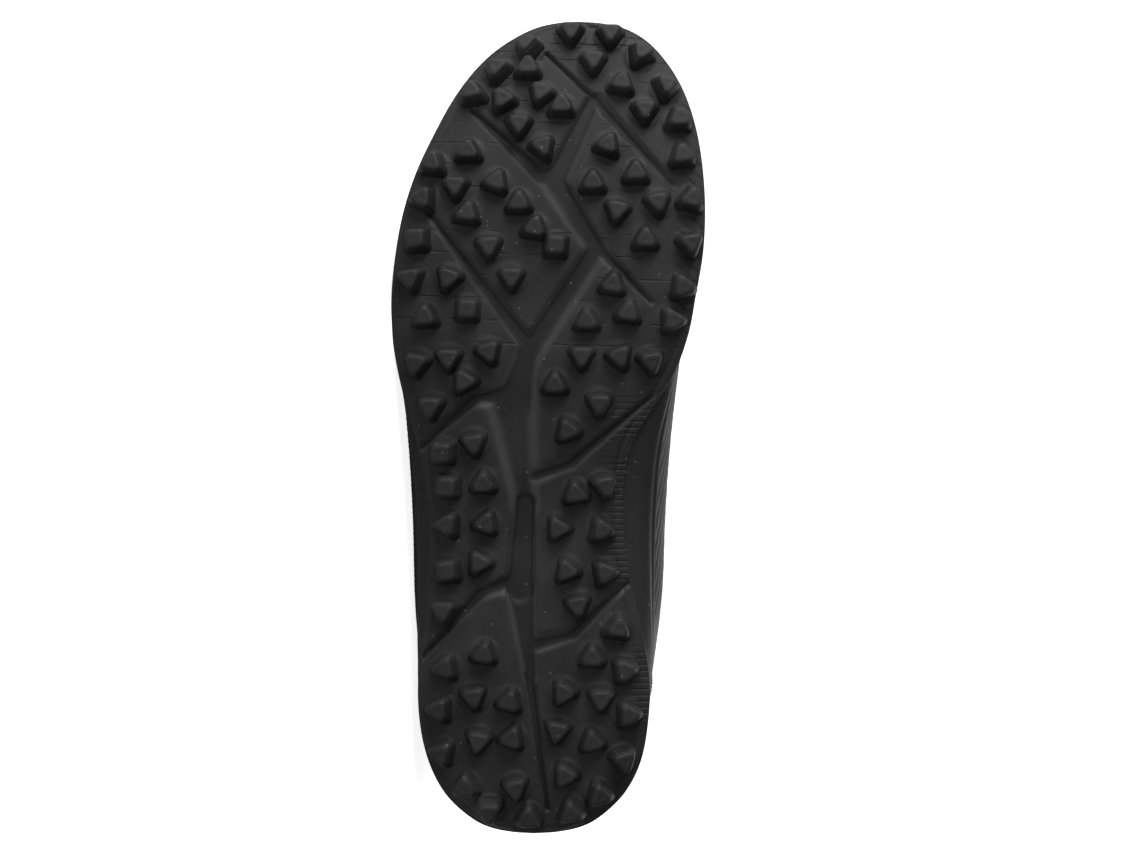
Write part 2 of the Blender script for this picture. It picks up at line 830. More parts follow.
class Groups:
    """Builds each shared shader group once and places it in materials."""

    def __init__(self) -> None:
        """Starts with no group built."""
        self.built: dict[GroupName, bpy.types.NodeTree] = {}

    def _new(self, name: GroupName, inputs: dict[str, float | None], outputs: Sequence[str]) -> tuple:
        """Makes an empty group with its sockets.

        Args:
            name: which group.
            inputs: names and values of its inputs, with None for a vector.
            outputs: names of its outputs.

        Returns:
            Its helper, the outputs of its input node and the inputs of its output node.
        """
        tree = bpy.data.node_groups.new(name.value, "ShaderNodeTree")
        for label, value in inputs.items():
            kind = "NodeSocketVector" if value is None else "NodeSocketFloat"
            socket = tree.interface.new_socket(label, in_out="INPUT", socket_type=kind)
            if value is not None:
                socket.default_value = value
        for label in outputs:
            tree.interface.new_socket(label, in_out="OUTPUT", socket_type="NodeSocketFloat")
        nodes = Nodes(tree)
        return nodes, nodes.add("NodeGroupInput").outputs, nodes.add("NodeGroupOutput").inputs

    def _grain(self) -> bpy.types.NodeTree:
        """Builds fine moulded grain over larger unevenness.

        Returns:
            The group's tree.
        """
        n, given, out = self._new(GroupName.GRAIN, {"Fine": 2400.0, "Broad": 120.0}, ("Height", "Tone"))
        fine, broad = n.noise(given["Fine"], 2.0), n.noise(given["Broad"], 3.0)
        n.link(n.plus(n.times(fine, 0.7), n.times(broad, 0.3)), out["Height"])
        n.link(n.rising(broad, 0.3, 0.7), out["Tone"])
        return n.tree

    def _dust(self) -> bpy.types.NodeTree:
        """Builds sparse pale specks and faint cloudy dust.

        Returns:
            The group's tree.
        """
        n, given, out = self._new(GroupName.DUST, {"Scale": 700.0, "Amount": 0.1}, ("Specks", "Haze"))
        cells = n.add("ShaderNodeTexVoronoi", Vector=n.here(), Scale=given["Scale"])
        chosen = n.add("ShaderNodeSeparateColor", Color=cells.outputs["Color"])
        few = n.maths("LESS_THAN", chosen.outputs[0], given["Amount"])
        spot = n.falling(cells.outputs["Distance"], 0.12, 0.28)
        n.link(n.times(few, spot), out["Specks"])
        n.link(n.rising(n.noise(38.0, 5.0, 0.65), 0.42, 0.75), out["Haze"])
        return n.tree

    def _wear(self) -> bpy.types.NodeTree:
        """Builds rubbed edges, broken up by noise.

        Returns:
            The group's tree.
        """
        n, given, out = self._new(GroupName.WEAR, {"Start": 0.52, "Full": 0.6}, ("Mask",))
        point = n.add("ShaderNodeNewGeometry").outputs["Pointiness"]
        edge = n.rising(point, given["Start"], given["Full"])
        n.link(n.times(edge, n.rising(n.noise(260.0, 3.0), 0.35, 0.65)), out["Mask"])
        return n.tree

    def _weave(self) -> bpy.types.NodeTree:
        """Builds two sets of threads that cross, over the surface coordinate in metres.

        Returns:
            The group's tree.
        """
        inputs = {"Run": None, "Warp": 0.6 * MM, "Weft": 0.6 * MM}
        n, given, out = self._new(GroupName.WEAVE, inputs, ("Height", "Tone"))
        parts = n.add("ShaderNodeSeparateXYZ", Vector=given["Run"]).outputs
        threads = zip(parts, ("Warp", "Weft"))
        turns = [n.times(n.maths("DIVIDE", part, given[pitch]), math.pi) for part, pitch in threads]
        warp, weft = (n.maths("ABSOLUTE", n.maths("SINE", t)) for t in turns)
        over = n.maths("GREATER_THAN", n.times(*(n.maths("SINE", t) for t in turns)), 0.0)
        under = n.maths("SUBTRACT", 1.0, over)
        n.link(n.plus(n.times(over, warp), n.times(under, weft)), out["Height"])
        n.link(over, out["Tone"])
        return n.tree

    def place(self, nodes: Nodes, name: GroupName, **inputs: object) -> bpy.types.bpy_prop_collection:
        """Places a group in a material.

        Args:
            nodes: the material's nodes.
            name: which group.
            inputs: values or sockets for its inputs.

        Returns:
            The outputs of the group's node.
        """
        if name not in self.built:
            makers = {
                GroupName.GRAIN: self._grain,
                GroupName.DUST: self._dust,
                GroupName.WEAR: self._wear,
                GroupName.WEAVE: self._weave,
            }
            self.built[name] = makers[name]()
        return nodes.add("ShaderNodeGroup", {"node_tree": self.built[name]}, **inputs).outputs


Colour = tuple[float, float, float, float]


def grey(value: float, tint: float = 0.0) -> Colour:
    """Returns a dark neutral colour with a little blue for a positive tint."""
    return (value, value, value * (1 + tint), 1.0)


WHITE = grey(1.0)
PAPER = grey(0.82)
HAZE = grey(0.09)
SPECK = grey(0.22)
FOAM_SPECK = grey(0.2)
RIDGES_BACK = (0.2, 0.3)
RIDGES_FRONT = (0.55, 0.66)
RIDGES_TOP = (20 * MM, 26 * MM)


@dataclass(frozen=True)
class Finish:
    """What every finish has: a name, its ground colour and gloss."""

    name: str
    colour: Colour
    roughness: float
    specular: float = 0.5

    def shade(self, factor: float) -> Colour:
        """Returns the ground colour, lighter or darker by a factor."""
        return grey(self.colour[0] * factor)

    def start(self) -> tuple[Material, Nodes, bpy.types.Node]:
        """Makes the material with its Principled BSDF.

        Returns:
            The material, its nodes and the shader.
        """
        material = bpy.data.materials.new(self.name)
        material.use_nodes = True
        material.diffuse_color = self.colour
        shader = material.node_tree.nodes["Principled BSDF"]
        shader.inputs["Base Color"].default_value = self.colour
        shader.inputs["Roughness"].default_value = self.roughness
        shader.inputs["Specular IOR Level"].default_value = self.specular
        return material, Nodes(material.node_tree), shader

    def bump(self, nodes: Nodes, shader: bpy.types.Node, height: Socket, depth: float) -> None:
        """Feeds a height from 0 to 1 to the shader's normal.

        Args:
            nodes: the material's nodes.
            shader: its Principled BSDF.
            height: the height's socket.
            depth: metres between heights 0 and 1.
        """
        node = nodes.add("ShaderNodeBump", Height=height, Distance=depth, Strength=1.0)
        nodes.link(node.outputs["Normal"], shader.inputs["Normal"])


@dataclass(frozen=True)
class TreadRubber(Finish):
    """Moulded black rubber with scribed cross lines on its raised fields, dust and rubbed edges."""

    line_pitch: float = 7.7 * MM
    toe_line_pitch: float = 3.2 * MM
    slant_pitch: float = 4.2 * MM
    line_width: float = 0.55 * MM
    rib_pitch: float = 2.1 * MM
    relief: float = 0.5 * MM
    floor_tone: float = 0.45
    wall_tone: float = 2.3
    worn_tone: float = 2.0
    lined: bool = True

    def material(self, groups: Groups, frame: ShoeFrame) -> Material:
        """Returns the finished material.

        Args:
            groups: the shared shader groups.
            frame: the shoe's frame, for where the lines lie.

        Returns:
            The material.
        """
        material, n, shader = self.start()
        grain = groups.place(n, GroupName.GRAIN, Fine=2600.0, Broad=140.0)
        dust = groups.place(n, GroupName.DUST, Scale=620.0, Amount=0.03)
        wear = groups.place(n, GroupName.WEAR, Start=0.53, Full=0.66)
        tone = n.mixed(grain["Tone"], self.shade(0.88), self.shade(1.12))
        if self.lined:
            panel = n.run_parts()[2]
            tone = n.mixed(n.falling(panel, 0.0, 0.4), tone, self.shade(self.floor_tone))
            wall = n.times(n.rising(panel, 0.05, 0.5), n.falling(panel, 0.7, 1.0))
            tone = n.mixed(wall, tone, self.shade(self.wall_tone))
        tone = n.mixed(n.times(wear["Mask"], 0.35), tone, self.shade(self.worn_tone))
        tone = n.mixed(n.times(dust["Haze"], 0.12), tone, HAZE)
        tone = n.mixed(n.times(dust["Specks"], 0.3), tone, SPECK)
        n.link(tone, shader.inputs["Base Color"])
        n.link(n.plus(self.roughness, n.times(dust["Haze"], 0.12)), shader.inputs["Roughness"])
        height = n.times(grain["Height"], 0.16)
        if self.lined:
            height = n.plus(height, self._lines(n, frame))
        self.bump(n, shader, height, self.relief)
        return material

    def _lines(self, n: Nodes, frame: ShoeFrame) -> Socket:
        """Scribes broken lines over the fields, in five zones.

        Args:
            n: the material's nodes.
            frame: the shoe's frame.

        Returns:
            The height's socket: 1 beside the lines and less in them.
        """
        x, y, panel = n.run_parts()
        length, half_ball = frame.length, frame.half_ball
        lean = n.plus(x, n.times(y, 0.03))
        wide, close = n.waves(lean, self.line_pitch), n.waves(lean, self.toe_line_pitch)
        slant, ribs = n.waves(n.plus(x, n.times(y, 0.9)), self.slant_pitch), n.waves(x, self.rib_pitch)
        fore = n.rising(x, 0.56 * length, 0.6 * length)
        toe = n.rising(x, 0.955 * length, 0.965 * length)
        edge = n.times(n.rising(y, 0.84 * half_ball, 0.9 * half_ball), fore)
        waist = n.times(n.rising(y, 0.36 * half_ball, 0.56 * half_ball), self._span(n, x, 0.28, 0.55, length))
        heel = n.times(n.rising(y, 0.5 * half_ball, 0.66 * half_ball), self._span(n, x, 0.03, 0.25, length))
        patches = n.noise(75.0, 1.0)
        broken, worn = n.rising(patches, 0.5, 0.58), n.rising(patches, 0.36, 0.46)
        cuts = []
        for line, mask, depth, breaks in (
            (wide, fore, 0.5, broken),
            (close, toe, 1.0, worn),
            (slant, edge, 0.6, worn),
            (ribs, waist, 0.4, worn),
            (ribs, heel, 0.35, worn),
        ):
            groove = n.falling(line, 0.25 * self.line_width, 0.8 * self.line_width)
            cuts.append(n.times(groove, breaks, mask, depth))
        deepest = reduce(lambda a, b: n.maths("MAXIMUM", a, b), cuts)
        return n.maths("SUBTRACT", 1.0, n.times(deepest, n.rising(panel, 0.7, 0.95)))

    def _span(
        self, n: Nodes, x: Socket, low: float, high: float, length: float
    ) -> Socket:
        """Masks the tread between two shares of its length, with soft ends.

        Args:
            n: the material's nodes.
            x: place along the shoe.
            low: share of the length where the mask starts.
            high: share where it ends.
            length: the shoe's length.

        Returns:
            The mask's socket.
        """
        soft = 0.05
        rise = n.rising(x, low * length, (low + soft) * length)
        return n.times(rise, n.falling(x, (high - soft) * length, high * length))


@dataclass(frozen=True)
class MouldedFoam(Finish):
    """Moulded foam with a fine skin and faint upright draw marks."""

    mark_pitch: float = 1.7 * MM
    relief: float = 0.12 * MM

    def material(self, groups: Groups) -> Material:
        """Returns the finished material.

        Args:
            groups: the shared shader groups.

        Returns:
            The material.
        """
        material, n, shader = self.start()
        grain = groups.place(n, GroupName.GRAIN, Fine=3200.0, Broad=90.0)
        dust = groups.place(n, GroupName.DUST, Scale=560.0, Amount=0.04)
        marks = n.rising(n.waves(n.run_parts()[0], self.mark_pitch), 0.0, self.mark_pitch / 2)
        tone = n.mixed(grain["Tone"], self.shade(0.9), self.shade(1.15))
        n.link(n.mixed(n.times(dust["Specks"], 0.25), tone, FOAM_SPECK), shader.inputs["Base Color"])
        self.bump(n, shader, n.plus(n.times(grain["Height"], 0.5), n.times(marks, 0.12)), self.relief)
        return material


@dataclass(frozen=True)
class SyntheticLeather(Finish):
    """Coated black synthetic leather with fine ridges over the waist, a pebbled grain and a soft coat."""

    ridge_pitch: float = 2.2 * MM
    ridge_climb: float = 0.5
    relief: float = 0.16 * MM
    coat: float = 0.02
    coat_roughness: float = 0.4

    def material(self, groups: Groups, frame: ShoeFrame) -> Material:
        """Returns the finished material.

        Args:
            groups: the shared shader groups.
            frame: the shoe's frame, for where the ridges lie.

        Returns:
            The material.
        """
        material, n, shader = self.start()
        shader.inputs["Coat Weight"].default_value = self.coat
        shader.inputs["Coat Roughness"].default_value = self.coat_roughness
        grain = groups.place(n, GroupName.GRAIN, Fine=1500.0, Broad=60.0)
        wear = groups.place(n, GroupName.WEAR, Start=0.54, Full=0.7)
        cells = n.add("ShaderNodeTexVoronoi", {"feature": "SMOOTH_F1"}, Vector=n.here(), Scale=950.0)
        x, girth, overlay = n.run_parts()
        climb = n.maths("SUBTRACT", girth, n.times(x, self.ridge_climb))
        ridge = n.rising(n.waves(climb, self.ridge_pitch), 0.0, self.ridge_pitch / 2)
        back, front = (tuple(share * frame.length for share in ends) for ends in (RIDGES_BACK, RIDGES_FRONT))
        low = n.times(n.falling(overlay, 0.3, 0.7), n.falling(girth, *RIDGES_TOP))
        waist = n.times(n.rising(x, *back), n.falling(x, *front), low)
        tone = n.mixed(grain["Tone"], grey(self.colour[0] * 0.88, 0.02), grey(self.colour[0] * 1.14, 0.02))
        n.link(n.mixed(n.times(wear["Mask"], 0.35), tone, self.shade(2.4)), shader.inputs["Base Color"])
        n.link(n.plus(self.roughness - 0.04, n.times(grain["Tone"], 0.1)), shader.inputs["Roughness"])
        height = n.plus(n.times(grain["Height"], 0.12), n.times(cells.outputs["Distance"], 0.35))
        self.bump(n, shader, n.plus(height, n.times(ridge, waist, 0.6)), self.relief)
        return material


@dataclass(frozen=True)
class Fabric(Finish):
    """Woven or knitted cloth over the piece's own surface coordinate."""

    warp: float = 0.7 * MM
    weft: float = 0.7 * MM
    depth: float = 0.18 * MM
    sheen: float = 0.25

    def material(self, groups: Groups) -> Material:
        """Returns the finished material.

        Args:
            groups: the shared shader groups.

        Returns:
            The material.
        """
        material, n, shader = self.start()
        shader.inputs["Sheen Weight"].default_value = self.sheen
        shader.inputs["Sheen Roughness"].default_value = 0.5
        weave = groups.place(n, GroupName.WEAVE, Run=n.run(), Warp=self.warp, Weft=self.weft)
        grain = groups.place(n, GroupName.GRAIN, Fine=3000.0, Broad=160.0)
        thread = n.mixed(weave["Tone"], self.shade(0.8), self.shade(1.25))
        gaps = n.rising(weave["Height"], 0.0, 0.6)
        n.link(n.mixed(gaps, self.shade(0.35), thread), shader.inputs["Base Color"])
        self.bump(n, shader, n.plus(weave["Height"], n.times(grain["Height"], 0.3)), self.depth)
        return material


@dataclass(frozen=True)
class StudioFinish(Finish):
    """The plain pale floor and backdrop."""

    glow: float = 0.88
    spill: float = 0.12

    def material(self) -> Material:
        """Makes paper that looks white but throws little light on the shoe.

        Returns:
            The material.
        """
        material, n, shader = self.start()
        shader.inputs["Emission Color"].default_value = WHITE
        n.link(n.seen(self.spill, self.glow), shader.inputs["Emission Strength"])
        return material


TREAD_RUBBER = TreadRubber("tread rubber", grey(0.0115), 0.58, 0.22)
STUD_RUBBER = TreadRubber("stud rubber", grey(0.0115), 0.58, 0.22, lined=False)
SOLE_FOAM = MouldedFoam("midsole foam", grey(0.0105), 0.6, 0.25)
UPPER_LEATHER = SyntheticLeather("coated synthetic leather", grey(0.0105), 0.52, 0.2)
LINING = Fabric("lining cloth", grey(0.02), 0.85, warp=0.9 * MM, weft=0.6 * MM)
THREAD = Fabric("sewing thread", grey(0.026), 0.6, warp=0.25 * MM, weft=0.25 * MM, depth=0.05 * MM)
INSOLE_CLOTH = Fabric("insole cloth", grey(0.03), 0.9, warp=0.8 * MM, weft=0.8 * MM)
TONGUE_CLOTH = Fabric("tongue cloth", grey(0.021), 0.82, warp=1.1 * MM, weft=1.1 * MM, depth=0.3 * MM)
LACE_WEAVE = Fabric(
    "lace weave", grey(0.014), 0.78, warp=0.42 * MM, weft=0.6 * MM, depth=0.16 * MM, sheen=0.12
)
STUDIO_PAPER = StudioFinish("studio paper", PAPER, 0.9, 0.1)


# ---- Outsole ----


@dataclass(frozen=True)
class Channel:
    """A channel between raised fields, from one end to the other in shares, with sizes in millimetres.

    The two bevels are its outer wall's and its inner wall's slope, left and right on the way to its end.
    """

    name: str
    start: tuple[float, float]
    end: tuple[float, float]
    wide: tuple[float, float]
    bevels: tuple[float, float] = (1.1, 1.1)
    deeper: float = 0.0


CHANNELS = (
    Channel("toe_slash", (0.955, 0.04), (0.893, 0.37), (0.5, 0.7), (0.7, 1.6)),
    Channel("inner_slash", (0.893, 0.37), (0.79, 0.85), (1.6, 0.6), (0.9, 2.6)),
    Channel("upper_zig", (0.895, 0.34), (0.8, 0.105), (2.6, 3.6), (1.4, 3.4)),
    Channel("outer_slash", (0.884, -0.44), (0.8, 0.02), (0.6, 2.4), (1, 1.2)),
    Channel("middle_zag", (0.8, 0.07), (0.712, 0.355), (3.8, 2.8), (2.6, 1.4)),
    Channel("inner_nick", (0.71, 0.39), (0.647, 0.705), (1.8, 0.5), (0.9, 1.8)),
    Channel("middle_zig", (0.712, 0.36), (0.585, -0.075), (3.2, 3.6), (1.6, 5.0)),
    Channel("outer_cut", (0.752, -0.7), (0.597, -0.08), (0.6, 2.6), (1, 1.8)),
    Channel("waist_top", (0.59, -0.08), (0.525, -0.165), (3.2, 6), (3.8, 3.4)),
    Channel("outer_waist_mouth", (0.535, -0.2), (0.53, -0.41), (3, 1.8), (1.6, 2.6)),
    Channel("outer_waist_cut", (0.531, -0.41), (0.466, -0.785), (1.8, 0.6), (1, 1)),
    Channel("waist_run", (0.525, -0.185), (0.405, -0.095), (6.8, 3.2), (6.6, 7.4), 0.3),
    Channel("inner_waist_mouth", (0.437, -0.03), (0.452, 0.2), (2, 1.6), (1.4, 3)),
    Channel("inner_waist_cut", (0.452, 0.2), (0.535, 0.72), (1.6, 0.6), (1, 1.2)),
    Channel("shank_run", (0.405, -0.095), (0.3, -0.13), (3.2, 4.6), (2.2, 1.6), 0.7),
    Channel("outer_heel_mouth", (0.31, -0.16), (0.294, -0.38), (2.4, 1.7), (1.4, 2.6)),
    Channel("outer_heel_cut", (0.294, -0.38), (0.21, -0.775), (1.7, 0.6), (1, 1)),
    Channel("shank_foot", (0.3, -0.125), (0.195, -0.06), (4.6, 2), (3.4, 2.6)),
    Channel("inner_heel_mouth", (0.232, -0.03), (0.2445, 0.21), (2.4, 1.6), (1.4, 3.4)),
    Channel("inner_heel_cut", (0.2445, 0.21), (0.306, 0.56), (1.6, 0.6), (1, 1.4)),
    Channel("heel_slash", (0.195, -0.07), (0.033, 0.045), (1.6, 0.8), (0.8, 0.8)),
)

TOE, INNER, HEEL, OUTER = 0, 90, 180, 270
STUDS: dict[str, tuple[tuple[float, ...], ...]] = {
    "toe_field": (
        (0.985, 0.195, 300), (0.982, 0.45, 60), (0.958, 0.66, 330), (0.947, 0.34, HEEL),
        (0.975, -0.12, HEEL), (0.916, 0.82, 190), (0.918, 0.52, 10), (0.884, 0.67, HEEL),
        (0.873, 0.895, 355), (0.827, 0.915, 110),
    ),
    "outer_toe_field": (
        (0.938, -0.29, 190), (0.938, -0.08, TOE), (0.91, -0.465, 350), (0.897, -0.24, INNER),
        (0.906, 0.005, 200), (0.889, 0.135, TOE), (0.866, -0.135, HEEL), (0.838, 0.015, 160),
    ),
    "inner_field": (
        (0.84, 0.43, 20), (0.793, 0.335, TOE), (0.805, 0.61, TOE), (0.759, 0.49, 190),
        (0.769, 0.75, 170), (0.773, 0.97, 250), (0.723, 0.67, TOE), (0.719, 0.965, 170),
        (0.665, 0.915, 100),
    ),
    "inner_ball_field": (
        (0.668, 0.46, 10), (0.624, 0.295, TOE), (0.634, 0.56, 10), (0.625, 0.85, INNER),
        (0.582, 0.265, HEEL), (0.581, 0.505, 160), (0.575, 0.71, 170), (0.547, 0.095, TOE),
        (0.524, 0.375, HEEL), (0.491, 0.175, 100),
    ),
    "outer_ball_field": (
        (0.818, -0.7, 10), (0.832, -0.46, TOE), (0.789, -0.54, HEEL), (0.774, -0.755, OUTER),
        (0.794, -0.28, 20), (0.755, -0.465, 10), (0.768, -0.135, TOE), (0.737, -0.035, 10),
        (0.715, -0.325, 175), (0.716, 0.1, 50, 4), (0.677, -0.18, HEEL),
    ),
    "outer_field": (
        (0.724, -0.795, 40, 4), (0.676, -0.83, 170), (0.676, -0.58, 80), (0.638, -0.46, 48, 4),
        (0.629, -0.735, TOE), (0.573, -0.79, 190), (0.579, -0.58, HEEL), (0.587, -0.325, 40),
        (0.551, -0.48, INNER), (0.52, -0.7, HEEL),
    ),
    "outer_waist_field": (
        (0.464, -0.63, 45, 4), (0.476, -0.42, 170), (0.423, -0.6, 50, 4), (0.427, -0.36, TOE),
        (0.377, -0.6, OUTER), (0.379, -0.345, 20), (0.322, -0.6, 40, 4), (0.332, -0.385, INNER),
        (0.274, -0.62, HEEL),
    ),
    "inner_waist_field": (
        (0.415, 0.225, 350), (0.425, 0.42, 170), (0.373, 0.115, INNER), (0.371, 0.4, 340),
        (0.322, 0.17, 340), (0.32, 0.42, 80), (0.281, 0.24, 170),
    ),
    "outer_heel_field": (
        (0.205, -0.61, 20), (0.222, -0.355, 10), (0.17, -0.42, 170), (0.164, -0.195, 15),
        (0.154, -0.65, OUTER), (0.117, -0.39, 190), (0.12, -0.18, 260), (0.101, -0.635, 160),
        (0.06, -0.48, TOE), (0.06, -0.155, 170), (0.03, -0.325, 300), (0.022, -0.075, TOE),
    ),
    "inner_heel_field": (
        (0.253, 0.5, 10), (0.218, 0.33, TOE), (0.202, 0.545, 80), (0.175, 0.15, INNER),
        (0.168, 0.39, HEEL), (0.148, 0.57, INNER), (0.129, 0.11, 190), (0.116, 0.33, 230),
        (0.093, 0.545, 165), (0.075, 0.16, INNER), (0.05, 0.385, 345), (0.029, 0.195, 350),
    ),
}


@dataclass
class Outsole:
    """The rubber outsole: a plate with raised fields and channels, and its studs."""

    sole: Sole
    groups: Groups
    stations: int = 470
    across: int = 138
    crowding: float = 0.6
    lip_inset: float = 2.1 * MM
    lip_depth: float = 0.3 * MM
    fillet: float = 1.6 * MM
    fillet_height: float = 0.5 * MM
    bevel_softness: float = 0.75
    corner_round: float = 0.22
    skirt: float = 2.3 * MM
    foot_round: float = 2.3 * MM
    stud_arc: int = 6
    stud_lean: float = 0.8
    tip_margin: float = 0.55
    tip_round: float = 1.7 * MM

    STUD_LEVELS = (0.15, 0.35, 0.55, 0.72)
    TIP_DRAW = 0.6
    RIM = ((0.62, 0.1), (0.3, 0.06), (0.08, 0.18), (0, 0.35), (0, 0.8), (0.18, 0.94), (0.5, 1.0))

    def _relief(self, x: Array, y: Array) -> tuple[Array, Array]:
        """Depth of the channels under the fields' faces.

        Args:
            x: places along the shoe, in metres.
            y: places across it, in metres.

        Returns:
            The depth, and a mask that is 1 on the fields and 0 in the channels.
        """
        frame = self.sole.frame
        scale = np.array([frame.length, frame.half_ball])
        deeper, walls = np.zeros_like(x), np.zeros_like(x)
        for channel in CHANNELS:
            a, b = np.array(channel.start) * scale, np.array(channel.end) * scale
            run = b - a
            t = np.clip(((x - a[0]) * run[0] + (y - a[1]) * run[1]) / (run @ run), 0, 1)
            off_x, off_y = x - a[0] - t * run[0], y - a[1] - t * run[1]
            left = run[0] * off_y - run[1] * off_x > 0
            slope = np.where(left, channel.bevels[0], channel.bevels[1]) * MM
            clear = np.hypot(off_x, off_y) - mix(channel.wide[0], channel.wide[1], t) * MM
            wall = clear / slope + 0.5
            walls += np.exp(-np.clip(wall, -8, 8) / self.corner_round)
            deeper = np.maximum(deeper, channel.deeper * MM * (1 - smooth(wall, 0, 1)))
        wall = np.clip(-self.corner_round * np.log(walls), 0, 1)
        mask = mix(wall, smooth(wall, 0, 1), self.bevel_softness)
        return self.sole.sizes.channel_depth * (1 - mask) + deeper, mask

    def _outline(self) -> Array:
        """Traces the plate's outline closely.

        Returns:
            Its points, as places along and across.
        """
        at = share_of(np.linspace(0, 1, 600))
        x = self.sole.along(at, 0.0)
        return np.concatenate([np.stack([x, self.sole.outsole_edge(side, at)], -1) for side in (0, 1)])

    def _places(self) -> list[dict[str, Array]]:
        """Works out where every stud stands.

        Returns:
            Foot, directions and number of corners of each, in the shoe's frame.
        """
        frame, sole = self.sole.frame, self.sole
        outline = self._outline()
        margin = self.tip_margin * sole.sizes.stud_tip
        found = []
        for stud in [s for field in STUDS.values() for s in field]:
            at, wide, heading = stud[:3]
            corners = int(stud[3]) if len(stud) > 3 else 3

            def height(a: float, w: float) -> float:
                """Height of the tread's face at shares a and w."""
                lo, hi = sole.edges[0](a), sole.edges[1](a)
                return float(sole.tread(a, np.clip(2 * (w - lo) / (hi - lo) - 1, -1, 1)))

            step = 0.004
            side = step * float(sole.edges[1](at) - sole.edges[0](at))
            slope_x = (height(at + step, wide) - height(at - step, wide)) / (2 * step * frame.length)
            slope_y = (height(at, wide + side) - height(at, wide - side)) / (2 * side * frame.half_ball)
            out = unit(np.array([self.stud_lean * slope_x, self.stud_lean * slope_y, -1.0]))
            turn = math.radians(heading)
            point = np.array([math.cos(turn), math.sin(turn), 0.0])
            point = unit(point - out * (point @ out))
            tip = np.array([at * frame.length, wide * frame.half_ball, 0.0])
            gaps = tip[:2] - outline
            nearest = gaps[np.argmin(np.hypot(*gaps.T))]
            away = float(np.hypot(*nearest))
            tip[:2] += nearest / away * max(margin - away, 0.0)
            foot = tip - out * sole.sizes.stud_height
            foot[2] = height(foot[0] / frame.length, foot[1] / frame.half_ball)
            basis = np.array([point, np.cross(out, point), out])
            found.append({"foot": foot, "basis": basis, "corners": corners})
        return found

    def plate(self) -> Object:
        """Makes the plate, whose face is one finely divided sheet.

        Returns:
            The plate's object.
        """
        sole, s, frame = self.sole, self.sole.sizes, self.sole.frame
        at = stations(self.stations, self.crowding)[:, None]
        across = np.linspace(-1, 1, self.across + 1)[None, :]
        x = np.broadcast_to(sole.along(at, self.TIP_DRAW * s.edge_round), (len(at), across.size))
        lo, hi = (sole.outsole_edge(side, at, s.edge_round) for side in (0, 1))
        y = mix(lo, hi, (across + 1) / 2)
        depth, mask = self._relief(x, y)
        edge = kdtree.KDTree(2 * len(at))
        for side, row in enumerate((lo[:, 0], hi[:, 0])):
            for i, (px, py) in enumerate(zip(x[:, 0], row)):
                edge.insert((px, py, 0), side * len(at) + i)
        edge.balance()
        near = np.array([edge.find((px, py, 0))[2] for px, py in zip(x.ravel(), y.ravel())]).reshape(x.shape)
        depth = depth + self.lip_depth * (1 - smooth(np.abs(near - self.lip_inset), 0.25 * MM, 0.85 * MM))
        swell = np.zeros_like(x)
        radius = 0.43 * s.stud_foot
        for place in self._places():
            away = np.hypot(x - place["foot"][0], y - place["foot"][1])
            swell = np.maximum(swell, 1 - smooth(away, radius, radius + self.fillet))
        z = sole.tread(at, across) + depth - self.fillet_height * swell
        skin = Skin()
        face = skin.add(np.stack([x, y, z], -1), np.stack([x, y, mask], -1))
        skin.grid(face, flip=True)
        low, top = sole.tread(at, 1.0), sole.rubber_top(at)
        before = [face[:, 0], face[:, -1]]
        for draw, lift in self.RIM:
            for side in (0, 1):
                ring_x = sole.along(at, self.TIP_DRAW * draw * s.edge_round)
                ring_y = sole.outsole_edge(side, at, draw * s.edge_round)
                ring = np.stack([ring_x, ring_y, mix(low, top, lift)], -1)[:, 0]
                ids = skin.add(ring, np.stack([ring_x, ring_y, 0 * ring_x + 1], -1)[:, 0])
                skin.grid(np.stack([before[side], ids], 1), flip=side == 1)
                before[side] = ids
        skin.grid(np.stack(before, 1))
        return skin.build("outsole_plate", frame, [TREAD_RUBBER.material(self.groups, frame)])

    def _prototype(self, corners: int) -> Object:
        """Makes one stud, standing on its foot with a corner towards x.

        Args:
            corners: how many corners it has.

        Returns:
            Its object.
        """
        s = self.sole.sizes
        turns, arcs = [], []
        for k in range(corners):
            for j in range(self.stud_arc + 1):
                turns.append(2 * math.pi * k / corners)
                arcs.append(turns[-1] + (j / self.stud_arc - 0.5) * 2 * math.pi / corners)
        turns, arcs = np.array(turns), np.array(arcs)

        def ring(reach: float, radius: float, lift: float) -> Array:
            """A rounded polygon whose corners reach so far, at a height."""
            x, y = ((reach - radius) * way(turns) + radius * way(arcs) for way in (np.cos, np.sin))
            return np.stack([x, y, 0 * turns + lift], -1)

